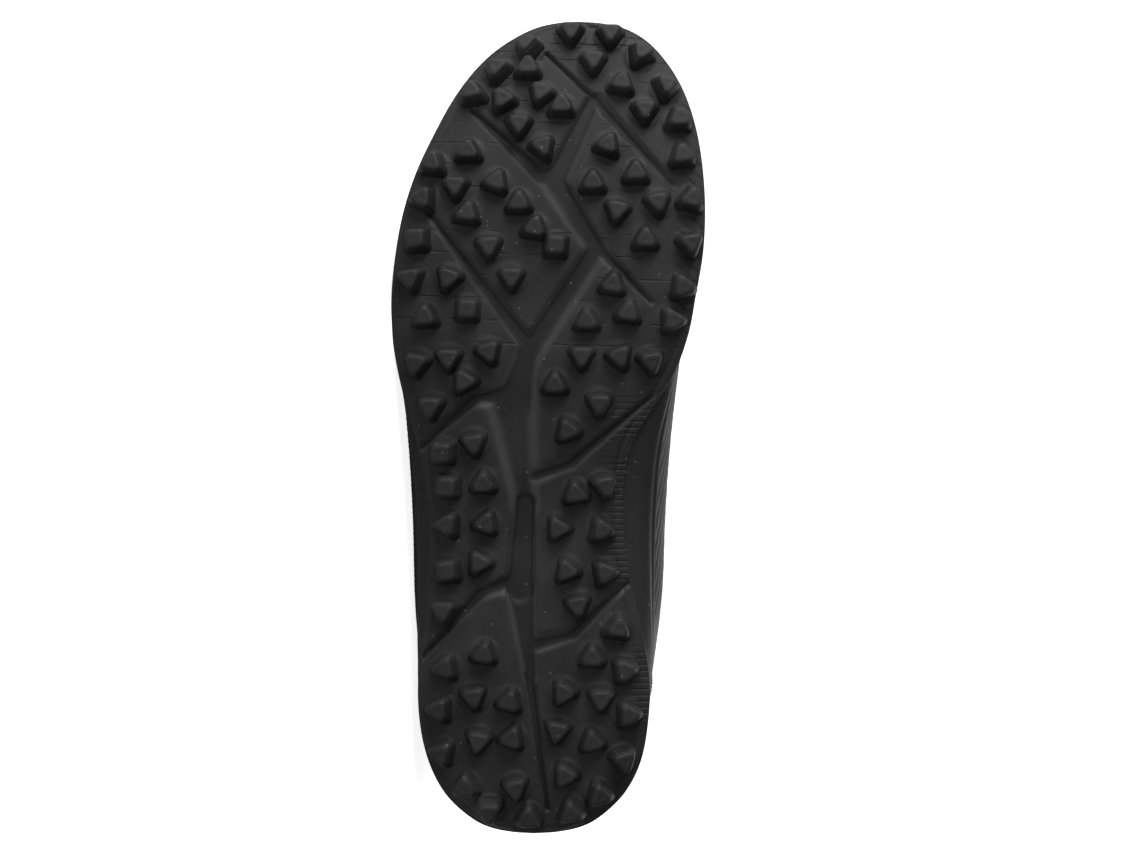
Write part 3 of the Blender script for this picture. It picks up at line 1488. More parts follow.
        foot, tip = s.stud_foot * s.stud_reach / 2, s.stud_tip * s.stud_reach / 2
        high, r = s.stud_height, self.tip_round
        rows = [ring(foot + 0.1 * MM, self.foot_round, -self.skirt), ring(foot, self.foot_round, 0.1 * MM)]
        for t in self.STUD_LEVELS:
            hollow = 0.3 * MM * math.sin(math.pi * t)
            rows.append(ring(float(mix(foot, tip, t)) - hollow, self.foot_round - 0.7 * MM * t, high * t))
        for angle in (0, 30, 60, 90):
            c, v = math.cos(math.radians(angle)), math.sin(math.radians(angle))
            rows.append(ring(tip - r * 0.7 * (1 - c), 1.6 * MM - 0.3 * r * (1 - c), high - r * (1 - v) * 0.8))
        for shrink in (0.6, 0.25):
            rows.append(ring((tip - r) * shrink, 1.5 * MM * shrink, high - 0.12 * MM * (1 - shrink)))
        skin = Skin()
        runs = np.broadcast_to(np.array([0, 0, 1.0]), (len(rows), len(turns), 3))
        ends = (np.array([0, 0, -self.skirt]), np.array([0, 0, high - 0.14 * MM]))
        skin.tube(np.array(rows), runs, ends, flip=True)
        return skin.build(f"stud_{corners}", None, [])

    def studs(self, stamps: StampTree) -> Object:
        """Sets the studs on the plate.

        Args:
            stamps: the Geometry Nodes tree that sets them.

        Returns:
            All the studs as one object.
        """
        frame = self.sole.frame
        finish = STUD_RUBBER.material(self.groups, frame)
        made = []
        for corners in (3, 4):
            places = [p for p in self._places() if p["corners"] == corners]
            stamp = self._prototype(corners)
            spots = frame.place(np.array([p["foot"] for p in places]))
            bases = np.array([frame.turn(p["basis"]) for p in places])
            made.append(stamps.stamp(f"outsole_studs_{corners}", spots, bases, stamp, finish))
            bpy.data.objects.remove(stamp)
        joined = bmesh.new()
        for piece in made:
            joined.from_mesh(piece.data)
        mesh = made[0].data.copy()
        joined.to_mesh(mesh)
        joined.free()
        mesh.name = "outsole_studs"
        for piece in made:
            bpy.data.objects.remove(piece)
        return linked("outsole_studs", mesh)


# ---- Midsole and insole ----


@dataclass
class Midsole:
    """The foam layer between the outsole and the upper, wider than the outsole at the waist."""

    sole: Sole
    groups: Groups
    stations: int = 320
    crowding: float = 0.7
    swell: float = 0.72
    swell_at: float = 0.45
    cut_at: float = 0.78
    cut_depth: float = 0.45 * MM
    rim_round: float = 0.35 * MM

    SOFT = 0.05
    LEVELS = (0, 0.015, 0.05, 0.12, 0.25, 0.45, 0.6, 0.68, 0.73, 0.76, 0.78, 0.8, 0.83, 0.88, 0.95, 0.985, 1)

    def _side(self, side: int, at: Array, t: float) -> tuple[Array, Array, Array]:
        """Draws one level of the side.

        Args:
            side: 0 for the outer side, 1 for the inner side.
            at: shares of the length.
            t: share of the side's height.

        Returns:
            The level's x, y and z.
        """
        sole, s = self.sole, self.sole.sizes
        foot, out = sole.foot_edge(side, at), sole.foot_edge(side, at, -s.feather_inset)
        middle = mix(sole.outsole_edge(side, at), foot, self.swell) + (out - foot) * self.swell
        tips = (s.midsole_inset, s.tip_inset / 2, s.tip_inset - s.feather_inset)
        if t < self.swell_at:
            k = t / self.swell_at
            y, tip = mix(sole.outsole_edge(side, at, s.midsole_inset), middle, k), mix(tips[0], tips[1], k)
        else:
            k = (t - self.swell_at) / (1 - self.swell_at)
            y, tip = mix(middle, out, k), mix(tips[1], tips[2], k)
        groove = self.cut_depth * math.exp(-(((t - self.cut_at) / self.SOFT) ** 2))
        rim = sum((1 - min(end / self.SOFT, 1)) ** 2 for end in (t, 1 - t)) * self.rim_round
        z = sole.rubber_top(at) + s.gap + sole.foam(at) * t
        return sole.along(at, float(tip)), y - (2 * side - 1) * (groove + rim), z

    def build(self) -> Object:
        """Makes the midsole with a softly swelling side and a cut line round it.

        Returns:
            Its object.
        """
        sole = self.sole
        at = stations(self.stations, self.crowding)
        skin = Skin()
        levels: list[list[Array]] = []
        for t in self.LEVELS:
            row = []
            for side in (0, 1):
                x, y, z = self._side(side, at, t)
                ids = skin.add(np.stack([x, y, z], -1), np.stack([x, z, 0 * x], -1))
                if levels:
                    skin.grid(np.stack([levels[-1][side], ids], 1), flip=side == 1)
                row.append(ids)
            levels.append(row)
        skin.grid(np.stack(levels[0], 1), flip=True)
        skin.grid(np.stack(levels[-1], 1))
        return skin.build("midsole_foam", sole.frame, [SOLE_FOAM.material(self.groups)])


@dataclass
class Insole:
    """The thin foam bed inside, a little dished at the heel and raised under the arch."""

    sole: Sole
    groups: Groups
    stations: int = 150
    across: int = 36
    crowding: float = 0.7

    def build(self) -> Object:
        """Makes the insole.

        Returns:
            Its object.
        """
        sole, s = self.sole, self.sole.sizes
        at = stations(self.stations, self.crowding)[:, None]
        across = np.linspace(-1, 1, self.across + 1)[None, :]
        x = np.broadcast_to(sole.along(at, s.tip_inset + s.insole_inset), (len(at), across.size))
        edges = [sole.foot_edge(side, at, s.insole_inset) for side in (0, 1)]
        y = mix(*edges, (across + 1) / 2)
        floor = np.broadcast_to(sole.foam_top(at) + s.gap, x.shape)
        heel = np.exp(-(((at - 0.12) / 0.09) ** 2)) * (1 - across**2)
        edge = smooth(np.abs(across), 0.9, 1)
        ball = np.exp(-(((at - 0.66) / 0.06) ** 2)) * np.exp(-(((across - 0.3) / 0.45) ** 2))
        top = floor + s.insole_thickness - 0.9 * MM * heel - 0.5 * MM * ball - 0.7 * MM * edge
        run = np.stack([x, y, 0 * x], -1)
        skin = Skin()
        upper = skin.add(np.stack([x, y, top], -1), run)
        under = skin.add(np.stack([x, y, floor], -1), run)
        skin.grid(upper)
        skin.grid(under, flip=True)
        for k, flip in ((0, True), (-1, False)):
            skin.grid(np.stack([upper[:, k], under[:, k]], 1), flip=flip)
        return skin.build("insole_bed", sole.frame, [INSOLE_CLOTH.material(self.groups)])


# ---- Upper ----


class Last:
    """The outside of the upper as a surface: turn along it, side, and up from the foot to the centre line."""

    HALVINGS = 30
    NEAR_TURN = 0.004
    NEAR_UP = 0.02

    def __init__(self, sole: Sole) -> None:
        """Reads the tables of the body and the collar.

        Args:
            sole: the sole that it stands on.
        """
        self.sole = sole
        self.frame = sole.frame
        self.sizes = sole.sizes
        self.bulges = [BODY.curve("outer", turn_of), BODY.curve("inner", turn_of)]
        self.ridge = BODY.curve("ridge", turn_of)
        self.centre = BODY.curve("centre", turn_of)
        self.square = BODY.curve("square", turn_of)
        self.collar = [COLLAR.curve("outer"), COLLAR.curve("inner")]
        self.lean = HEEL_PROFILE.curve("forward")

    def point(self, turn: Array, side: int, up: Array) -> Array:
        """Points of the outside.

        Args:
            turn: turn along the shoe, 0 at the heel and 1 at the toe.
            side: 0 for the outer side, 1 for the inner side.
            up: 0 at the foot and 1 on the centre line.

        Returns:
            Array [..., 3] in the shoe's frame.
        """
        s = self.sizes
        turn, up = np.broadcast_arrays(np.asarray(turn, float), np.asarray(up, float))
        at = share_of(turn)
        half = self.frame.half_ball
        foot = self.sole.feet[side](at) * half
        bulge = self.bulges[side](at) * half
        ridge = self.ridge(at) * s.instep_height
        centre = self.centre(at) * half
        low = np.minimum(s.bulge_height, ridge * 0.42)
        t = np.clip(up / s.bulge_up, 0, 1)
        angle = np.clip((up - s.bulge_up) / (1 - s.bulge_up), 0, 1) * np.pi / 2
        power = 2 / self.square(at)
        high = up >= s.bulge_up
        y_low = mix(foot, bulge, np.sin(t * np.pi / 2))
        y_high = centre + (bulge - centre) * np.maximum(np.cos(angle), 0) ** power
        y = np.where(high, y_high, y_low)
        z = np.where(high, low + (ridge - low) * np.sin(angle) ** power, low * t)
        fade = np.clip(1 - at / 0.25, 0, 1) ** 2
        lean = s.heel_lean * self.lean(z / s.collar_height) * fade
        x = s.tip_inset + at * (self.frame.length - 2 * s.tip_inset) + lean
        return np.stack([x, y, self.sole.feather(at) + z], -1)

    def throat(self, at: Array) -> Array:
        """Works out the throat, which tapers to a round front.

        Args:
            at: shares of the length.

        Returns:
            Half its width; 0 behind it, where the collar is open.
        """
        s = self.sizes
        taper = mix(1.25, 0.75, np.clip((at - s.throat_back) / (s.throat_front - s.throat_back), 0, 1))
        end = np.clip((at - s.throat_round_from) / (s.throat_front - s.throat_round_from), 0, 1)
        return np.where(at < s.pad_end, 0.0, s.throat_half_width * taper * np.sqrt(1 - end * end))

    def _search(self, test: Callable[[Array], Array], like: Array) -> Array:
        """Searches by halving.

        Args:
            test: tells for each value of up whether it is far enough.
            like: an array of the shape that the test takes.

        Returns:
            The lowest up, from 0 to 1, where the test turns true.
        """
        low, high = np.zeros_like(like), np.ones_like(like)
        never = ~test(high)
        for _ in range(self.HALVINGS):
            middle = (low + high) / 2
            passed = test(middle)
            high = np.where(passed, middle, high)
            low = np.where(passed, low, middle)
        return np.where(never, 1.0, high)

    def sharp_edge(self, turn: Array, side: int) -> Array:
        """Finds where the collar or throat cuts each section.

        Args:
            turn: turns along the shoe.
            side: 0 for the outer side, 1 for the inner side.

        Returns:
            The values of up there.
        """
        turn = np.asarray(turn, float)
        at = share_of(turn)
        height = self.collar[side](at) * self.sizes.collar_height
        middle = self.point(turn, side, np.ones_like(turn))[..., 1]
        reach = self.throat(at)

        def cut(up: Array) -> Array:
            """True where the section is past the collar's height or inside the throat."""
            p = self.point(turn, side, up)
            return (p[..., 2] - self.sole.feather(at) >= height) | (np.abs(p[..., 1] - middle) < reach)

        return np.where(at >= self.sizes.throat_front, 1.0, self._search(cut, turn))

    def edge(self, turn: Array, side: int) -> Array:
        """Rounds the same edge's corner where the collar meets the throat.

        Args:
            turn: turns along the shoe.
            side: 0 for the outer side, 1 for the inner side.

        Returns:
            The values of up at the edge.
        """
        corner = float(turn_of(self.sizes.throat_back))
        blur = 0.028 * smooth(0.13 - np.abs(turn - corner), 0, 0.06)
        taps = [self.sharp_edge(turn + tap * blur, side) for tap in (-1, -0.5, 0, 0.5, 1)]
        return sum(taps) / len(taps)

    def surface(self, at: Array, across: Array) -> tuple[Array, Array]:
        """Points of the outside over the centre line's neighbourhood.

        Args:
            at: shares of the length.
            across: distances from the centre line, below 0 on the outer side.

        Returns:
            The points and the directions out of the surface there.
        """
        at, across = np.broadcast_arrays(np.asarray(at, float), np.asarray(across, float))
        points, outs = np.empty(at.shape + (3,)), np.empty(at.shape + (3,))
        for side, pick in enumerate((across < 0, across >= 0)):
            if pick.any():
                points[pick], outs[pick] = self._side_surface(side, at[pick], np.abs(across[pick]))
        return points, outs

    def _side_surface(self, side: int, at: Array, far: Array) -> tuple[Array, Array]:
        """Finds places on one side of the outside.

        Args:
            side: 0 for the outer side, 1 for the inner side.
            at: shares of the length.
            far: distances from the centre line.

        Returns:
            The points and the directions out of the surface there.
        """
        turn = turn_of(at)
        middle = self.point(turn, side, np.ones_like(turn))[..., 1]

        def reached(up: Array) -> Array:
            """True where the section has come in to the distance."""
            near = np.abs(self.point(turn, side, up)[..., 1] - middle) <= far
            return (up > self.sizes.bulge_up) & near

        up = self._search(reached, np.zeros_like(turn))
        step = self.NEAR_TURN
        along = self.point(turn + step, side, up) - self.point(turn - step, side, up)
        low = np.maximum(up - self.NEAR_UP, 0)
        rise = self.point(turn, side, np.minimum(low + self.NEAR_UP, 1)) - self.point(turn, side, low)
        out = unit(np.cross(along, rise) * (1 if side == 0 else -1))
        return self.point(turn, side, up), out * np.where(out[..., 2:] > 0, 1, -1)

    def eyelets(self) -> list[dict]:
        """Places the eyelets, in pairs from the top of the throat to its toe end.

        Returns:
            For each its pair, side, place on the surface and direction outwards.
        """
        s, found = self.sizes, []
        for pair in range(s.eyelet_pairs):
            at = float(mix(s.eyelets_from, s.eyelets_to, pair / (s.eyelet_pairs - 1)))
            for sign in (-1, 1):
                across = sign * (float(self.throat(np.array(at))) + s.eyelet_inset)
                point, out = self.surface(at, across)
                spot = {"at": at, "across": across, "point": point, "out": out}
                found.append({"pair": pair, "side": sign, **spot})
        return found


@dataclass(frozen=True)
class Rim:
    """What lies at the edge of one side of the shell: its grid, and the last row's points and numbers."""

    points: Array
    normal: Array
    outer: Array
    inner: Array
    ids_out: Array
    ids_in: Array
    run: Array


@dataclass
class Upper:
    """The hollow upper: coated outside, cloth lining, rolled collar, eyestay, creases and eyelets."""

    last: Last
    groups: Groups
    stations: int = 220
    low_rows: int = 40
    rise: int = 76
    roll: int = 8
    roll_coated: int = 2
    roll_reach: float = 0.75
    ridge_pitch: float = 4.4 * MM
    ridge_height: float = 0.9 * MM
    counter_step: float = 0.45 * MM
    crease_width: float = 0.011
    stitch_pitch: float = 2.6 * MM
    stitch_share: float = 0.8
    stitch_thickness: float = 0.3 * MM
    stitch_variation: float = 0.06

    CREASES = ((0.735, 0.05, 0.55), (0.705, 0.02, 0.45), (0.765, 0.07, 0.35))
    FRONT_STEPS = (0, 0.03, 0.12, 0.3, 0.6, 1.1)
    SECTION_POINTS = 260
    EDGE_PULL = 0.35
    LOW_HEIGHT = 26 * MM
    LOW_SHARE = 0.45
    TOP_CROWDING = 0.4
    EYESTAY_FRONT = (0.7, 0.73)
    COUNTER_FOOT, COUNTER_TOP, COUNTER_HEIGHT, COUNTER_BOW = 0.2, 0.075, 44, 1.4
    COUNTER_END = (47 * MM, 48 * MM)
    PUNCH_DEPTHS = (-4, 3)
    SEAM_POINTS = 400
    SEAM_ROWS = 160
    COLLAR_SEAM = ((0.012, 17), (0.1, 17), (0.2, 17), (0.29, 18), (0.345, 20))
    STITCH = (
        (-0.5, 0.05, -0.6),
        (-0.4, 0.8, 0),
        (-0.15, 1, 0.45),
        (0.15, 1, 0.45),
        (0.4, 0.8, 0),
        (0.5, 0.05, -0.6),
    )
    STITCH_CLEAR = 0.02 * MM

    def _turns(self) -> Array:
        """Spaces the stations along the shoe, closer round the front of the throat.

        Returns:
            Their turns, rising.
        """
        front = float(turn_of(np.array(self.last.sizes.throat_front)))
        step = 1 / self.stations
        turns = np.linspace(0, 1, self.stations + 1)
        turns = turns[np.abs(turns - front) > 0.5 * step]
        extra = front - step * np.array(self.FRONT_STEPS)
        turns = np.concatenate([turns[(turns > front) | (turns < front - 1.3 * step)], extra])
        return np.sort(turns)

    def _creases(self, at: Array, girth: Array, total: Array) -> Array:
        """Works out the soft creases where the shoe bends at the ball.

        Args:
            at: share of the length.
            girth: distance up the section from the foot.
            total: length of the section.

        Returns:
            Their depth.
        """
        centre = smooth(girth / total, 0.35, 0.9)
        depth = np.zeros(np.broadcast(at, girth).shape)
        for place, lean, size in self.CREASES:
            away = (at - place + lean * (1 - girth / total)) / self.crease_width
            depth = depth + size * MM * np.exp(-(away**2)) * centre
        return depth

    def _ridges(self, x: Array, girth: Array) -> Array:
        """Works out the moulded ridges low on the waist, which climb towards the toe.

        Args:
            x: place along the shoe.
            girth: distance up the section from the foot.

        Returns:
            Their height.
        """
        length = self.last.frame.length
        along = smooth(x / length, *RIDGES_BACK) * (1 - smooth(x / length, *RIDGES_FRONT))
        up = smooth(girth, 0.5 * MM, 3 * MM) * (1 - smooth(girth, *RIDGES_TOP))
        wave = np.cos(2 * np.pi * (girth - UPPER_LEATHER.ridge_climb * x) / self.ridge_pitch)
        return self.ridge_height * along * up * (0.15 + 0.5 * wave)

    def _zones(self, at: Array, girth: Array, total: Array) -> tuple[Array, Array]:
        """Step of the overlays over the ground of the upper.

        Args:
            at: share of the length.
            girth: distance up the section from the foot.
            total: length of the section.

        Returns:
            The eyestay's step as a share of its full height, and the heel counter's.
        """
        s = self.last.sizes
        below = total - girth
        along = smooth(at, s.throat_back - 0.05, s.throat_back - 0.01) * (1 - smooth(at, *self.EYESTAY_FRONT))
        eyestay = along * (1 - smooth(below, s.eyestay_width - 0.1 * MM, s.eyestay_width + 0.9 * MM))
        line = self._counter_line(girth / MM)
        counter = (1 - smooth(at, line - 0.004, line)) * (1 - smooth(girth, *self.COUNTER_END))
        return eyestay, counter

    def _counter_line(self, up: Array) -> Array:
        """Share of the length where the heel counter ends, so many millimetres up from the foot."""
        bow = np.clip(up / self.COUNTER_HEIGHT, 0, 1) ** self.COUNTER_BOW
        return mix(self.COUNTER_FOOT, self.COUNTER_TOP, bow)

    def build(self) -> Object:
        """Makes the shell.

        Returns:
            Its object, with the coated outside and the lining as two materials.
        """
        last, s = self.last, self.last.sizes
        turns = self._turns()
        at = share_of(turns)[:, None]
        closed = at[:, 0] >= s.throat_front - 1e-9
        rows = []
        for side in (0, 1):
            edge = np.where(closed, 1.0, last.edge(turns, side))
            ups = np.linspace(0, 1, self.SECTION_POINTS)
            fine = last.point(turns[:, None], side, edge[:, None] * ups[None, :])
            total = travelled(fine)[:, -1:]
            thick = s.wall + self._padding(at, np.zeros_like(at))
            pull = np.where(closed[:, None], 0.0, self.EDGE_PULL * thick)
            low = np.minimum(self.LOW_HEIGHT / total, self.LOW_SHARE)
            rows_low = np.linspace(0, 1, self.low_rows + 1)[None, :]
            even = np.linspace(0, 1, self.rise - self.low_rows + 1)[None, 1:]
            rows_high = mix(even, np.sin(even * np.pi / 2), self.TOP_CROWDING)
            shares = np.concatenate([low * rows_low, mix(low, 1, rows_high)], 1)
            shares = shares * (1 - pull / total)
            points = resample(fine, shares)
            normal = normals_of(points) * (1 if side == 0 else -1)
            normal[:, -1] = np.where(closed[:, None], [0, 0, 1], normal[:, -1])
            if side == 1:
                for k in (0, -1):
                    normal[k] = rows[0][1][k]
            normal[0, :, 1] = 0
            normal[0] = unit(normal[0])
            rows.append((points, normal, shares * total, total))
        ridge = unit(rows[0][1][:, -1] + rows[1][1][:, -1])
        skin = Skin()
        for side, (points, normal, girth, total) in enumerate(rows):
            normal[closed, -1] = ridge[closed]
            eyestay, counter = self._zones(at, girth, total)
            overlay = np.maximum(eyestay, counter)
            lift = s.eyestay_step * eyestay + self.counter_step * counter - self._creases(at, girth, total)
            lift = lift + self._ridges(points[..., 0], girth) * (1 - counter)
            thick = s.wall + self._padding(at, total - girth)
            outside = points + normal * lift[..., None]
            inside = points - normal * thick[..., None]
            run = np.stack([np.broadcast_to(points[..., 0], girth.shape), girth, overlay], -1)
            ids_out, ids_in = skin.add(outside, run), skin.add(inside, run)
            skin.grid(ids_out, flip=side == 0)
            skin.grid(ids_in, flip=side == 1, slot=1)
            skin.grid(np.stack([ids_out[:, 0], ids_in[:, 0]], 1), flip=side == 1)
            edge = (values[:, -1] for values in (outside, inside, ids_out, ids_in, run))
            self._roll(skin, side, ~closed, Rim(points, normal, *edge))
        materials = [UPPER_LEATHER.material(self.groups, last.frame), LINING.material(self.groups)]
        shell = skin.build("upper_shell", last.frame, materials)
        self._punch(shell)
        return shell

    def _padding(self, at: Array, below: Array) -> Array:
        """Pads the collar inside.

        Args:
            at: share of the length.
            below: distance below the collar's edge.

        Returns:
            The extra thickness.
        """
        s = self.last.sizes
        along = 1 - smooth(at, s.pad_end - 0.08, s.pad_end)
        return s.collar_pad * along * (1 - smooth(below, s.collar_pad_depth * 0.4, s.collar_pad_depth))

    def _roll(self, skin: Skin, side: int, opened: Array, rim: Rim) -> None:
        """Rolls the edge of the collar and throat over from the outside to the lining.

        Args:
            skin: the shell's skin.
            side: 0 for the outer side, 1 for the inner side.
            opened: which stations are open at the top.
            rim: what lies at the edge.
        """
        keep = np.nonzero(opened)[0]
        last = keep[-1] + 1
        keep = np.append(keep, last)
        ahead = rim.points[:, -1] - rim.points[:, -2]
        ahead -= rim.normal[:, -1] * (ahead * rim.normal[:, -1]).sum(-1, keepdims=True)
        ahead = unit(ahead)
        middle, half = (rim.outer + rim.inner) / 2, (rim.outer - rim.inner) / 2
        reach = np.linalg.norm(half, axis=-1, keepdims=True) * self.roll_reach
        reach[last] = 0
        before = rim.ids_out[keep]
        for k in range(1, self.roll):
            angle = math.pi * k / self.roll
            ring = middle + half * math.cos(angle) + ahead * reach * math.sin(angle)
            ids = skin.add(ring[keep], rim.run[keep])
            skin.grid(np.stack([before, ids], 1), flip=side == 0, slot=0 if k <= self.roll_coated else 1)
            before = ids
        skin.grid(np.stack([before, rim.ids_in[keep]], 1), flip=side == 0, slot=1)

    def _punch(self, shell: Object) -> None:
        """Punches the eyelets through the shell.

        Args:
            shell: the upper's object.
        """
        s = self.last.sizes
        skin = Skin()
        turns = angles(24)
        for eyelet in self.last.eyelets():
            out = eyelet["out"]
            side = unit(np.cross(out, [1.0, 0, 0]))
            other = np.cross(out, side)
            circle = (np.cos(turns)[:, None] * side + np.sin(turns)[:, None] * other) * s.eyelet_radius
            ends = [eyelet["point"] + out * h * s.wall for h in self.PUNCH_DEPTHS]
            rings = np.array([eyelet["point"] + circle + out * h * s.wall for h in self.PUNCH_DEPTHS])
            skin.tube(rings, None, ends)
        cutter = skin.build("eyelet_punch", self.last.frame, [])
        live = shell.modifiers.new("punch", "BOOLEAN")
        live.operation, live.solver, live.object = "DIFFERENCE", "EXACT", cutter
        old, shell.data = shell.data, plain_mesh(shell)
        bpy.data.meshes.remove(old)
        bpy.data.objects.remove(cutter)

    def _seam(
        self, side: int, spots: Sequence[tuple[float, float]], from_edge: bool
    ) -> tuple[Array, Array]:
        """Spaces the stitches along a seam on one side.

        Args:
            side: 0 for the outer side, 1 for the inner side.
            spots: (share of the length, distance in metres) of the seam's points.
            from_edge: True where the distance is down from the edge at the top, not up from the foot.

        Returns:
            The points and directions, a stitch's pitch apart, in the shoe's frame.
        """
        last = self.last
        spots = np.array(spots)
        step = travelled(spots * [last.frame.length, 1])
        along = np.linspace(0, 1, self.SEAM_POINTS) * step[-1]
        at, far = (np.interp(along, step, spots[:, k]) for k in (0, 1))
        turns = turn_of(at)
        edge = last.edge(turns, side)
        ups = np.linspace(0, 1, self.SEAM_ROWS)
        length = travelled(last.point(turns[:, None], side, edge[:, None] * ups[None, :]))
        wanted = length[:, -1] - far if from_edge else far
        up = np.array([np.interp(w, row, ups) for w, row in zip(wanted, length)]) * edge
        points = last.point(turns, side, up)
        ahead = last.point(turns + 0.003, side, up) - last.point(turns - 0.003, side, up)
        rise = last.point(turns, side, np.minimum(up + 0.01, 1)) - last.point(turns, side, up - 0.01)
        out = unit(np.cross(ahead, rise) if side == 0 else np.cross(rise, ahead))
        out *= -1 if (out[:, 1] * (2 * side - 1)).mean() < 0 else 1
        travel = travelled(points)
        wanted = np.arange(0, travel[-1], self.stitch_pitch)
        picked = [np.stack([np.interp(wanted, travel, v[:, k]) for k in range(3)], -1) for v in (points, out)]
        return picked[0], picked[1]

    def stitches(self, stamps: StampTree) -> Object:
        """Sews the rows of stitches of the eyestay, collar and heel counter.

        Args:
            stamps: the Geometry Nodes tree that sets each stitch.

        Returns:
            All the stitches as one object.
        """
        frame = self.last.frame
        places, bases = [], []
        for side in (0, 1):
            for spots, from_edge, lift in self._seams():
                points, out = self._seam(side, spots, from_edge)
                ahead = np.gradient(points, axis=0)
                ahead = unit(ahead - out * (ahead * out).sum(-1, keepdims=True))
                places.append(points + out * (lift + self.STITCH_CLEAR))
                bases.append(np.stack([ahead, np.cross(out, ahead), out], 1))
        stamp = self._stitch()
        finish = THREAD.material(self.groups)
        at, turned = frame.place(np.concatenate(places)), frame.turn(np.concatenate(bases))
        made = stamps.stamp("upper_stitches", at, turned, stamp, finish, self.stitch_variation)
        bpy.data.objects.remove(stamp)
        return made

    def _seams(self) -> list[tuple[list[tuple[float, float]], bool, float]]:
        """Lists the seams of one side.

        Returns:
            For each its points, as _seam takes them, whether they are measured from the edge, and the
            height of the step that it lies on.
        """
        s = self.last.sizes
        seams = []
        for inset in (1.4 * MM, 3.0 * MM):
            seams.append(([(at, s.eyestay_width - inset) for at in (0.375, 0.5, 0.66)], True, s.eyestay_step))
        seams.append(([(at, 2.2 * MM) for at in (0.39, 0.5, 0.6)], True, s.eyestay_step))
        seams.append(([(at, down * MM) for at, down in self.COLLAR_SEAM], True, 0.0))
        counter = [(float(self._counter_line(up)) - 0.011, up * MM) for up in (2, 10, 20, 30, 40)]
        seams.append((counter, False, self.counter_step))
        return seams

    def _stitch(self) -> Object:
        """Makes one stitch: a short thread that dips at both ends.

        Returns:
            Its object, in a frame of its own.
        """
        long, thick = self.stitch_share * self.stitch_pitch, self.stitch_thickness
        turns = angles(6)
        rings = []
        for x, r, z in self.STITCH:
            across, high = r * thick * np.cos(turns), (0.7 * r * np.sin(turns) + z) * thick
            rings.append(np.stack([0 * turns + x * long, across, high], -1))
        ends = [np.array([x * long, 0, self.STITCH[0][2] * thick]) for x in (-0.51, 0.51)]
        skin = Skin()
        skin.tube(np.array(rings), np.array(rings), ends)
        return skin.build("stitch", None, [])


# ---- Tongue and lace ----


@dataclass
class Tongue:
    """The padded tongue under the throat, with a bound edge and two sewn channels."""

    last: Last
    groups: Groups
    stations: int = 110
    across: int = 60
    channel_at: float = 8.5 * MM

    def build(self) -> Object:
        """Makes the tongue.

        Returns:
            Its object.
        """
        last, s = self.last, self.last.sizes
        t = np.linspace(0, 1, self.stations + 1)[:, None]
        c = np.linspace(-1, 1, self.across + 1)[None, :]
        at = mix(s.tongue_top, s.tongue_toe, t)
        half = s.tongue_half_width * mix(1.0, 0.8, t) * np.sqrt(1 - np.clip(1 - t / 0.16, 0, 1) ** 2 * 0.55)
        across = half * c + 1e-6
        point, out = last.surface(at, across)
        middle = s.wall + s.tongue_clear + s.tongue_thickness / 2
        thick = s.tongue_thickness * self._fullness(np.abs(c), t, across)
        run = np.stack([at * last.frame.length + 0 * across, across, 0 * across], -1)
        skin = Skin()
        upper = skin.add(point - out * (middle - thick / 2)[..., None], run)
        lower = skin.add(point - out * (middle + thick / 2)[..., None], run)
        skin.grid(upper)
        skin.grid(lower, flip=True)
        for k, flip in ((0, True), (-1, False)):
            skin.grid(np.stack([upper[:, k], lower[:, k]], 1), flip=flip)
            skin.grid(np.stack([upper[k], lower[k]], 1), flip=not flip)
        return skin.build("tongue_padded", last.frame, [TONGUE_CLOTH.material(self.groups)])

    def _fullness(self, side: Array, t: Array, across: Array) -> Array:
        """Rounds the rim and pulls in the sewn lines.

        Args:
            side: how near a side edge, 1 on it.
            t: share of the way down the tongue.
            across: distance from its centre line.

        Returns:
            Share of the full thickness.
        """
        rim = np.minimum(np.minimum((1 - side) / 0.1, t / 0.035), np.minimum((1 - t) / 0.05, 1))
        edge = 0.45 + 0.55 * np.sqrt(np.maximum(1 - (1 - rim) ** 2, 0))
        sewn = 0.4 * np.exp(-(((np.abs(across) - self.channel_at) / (0.9 * MM)) ** 2))
        binding = 0.25 * (np.exp(-(((side - 0.88) / 0.02) ** 2)) + np.exp(-(((t - 0.075) / 0.008) ** 2)))
        return edge * (1 - sewn - binding)


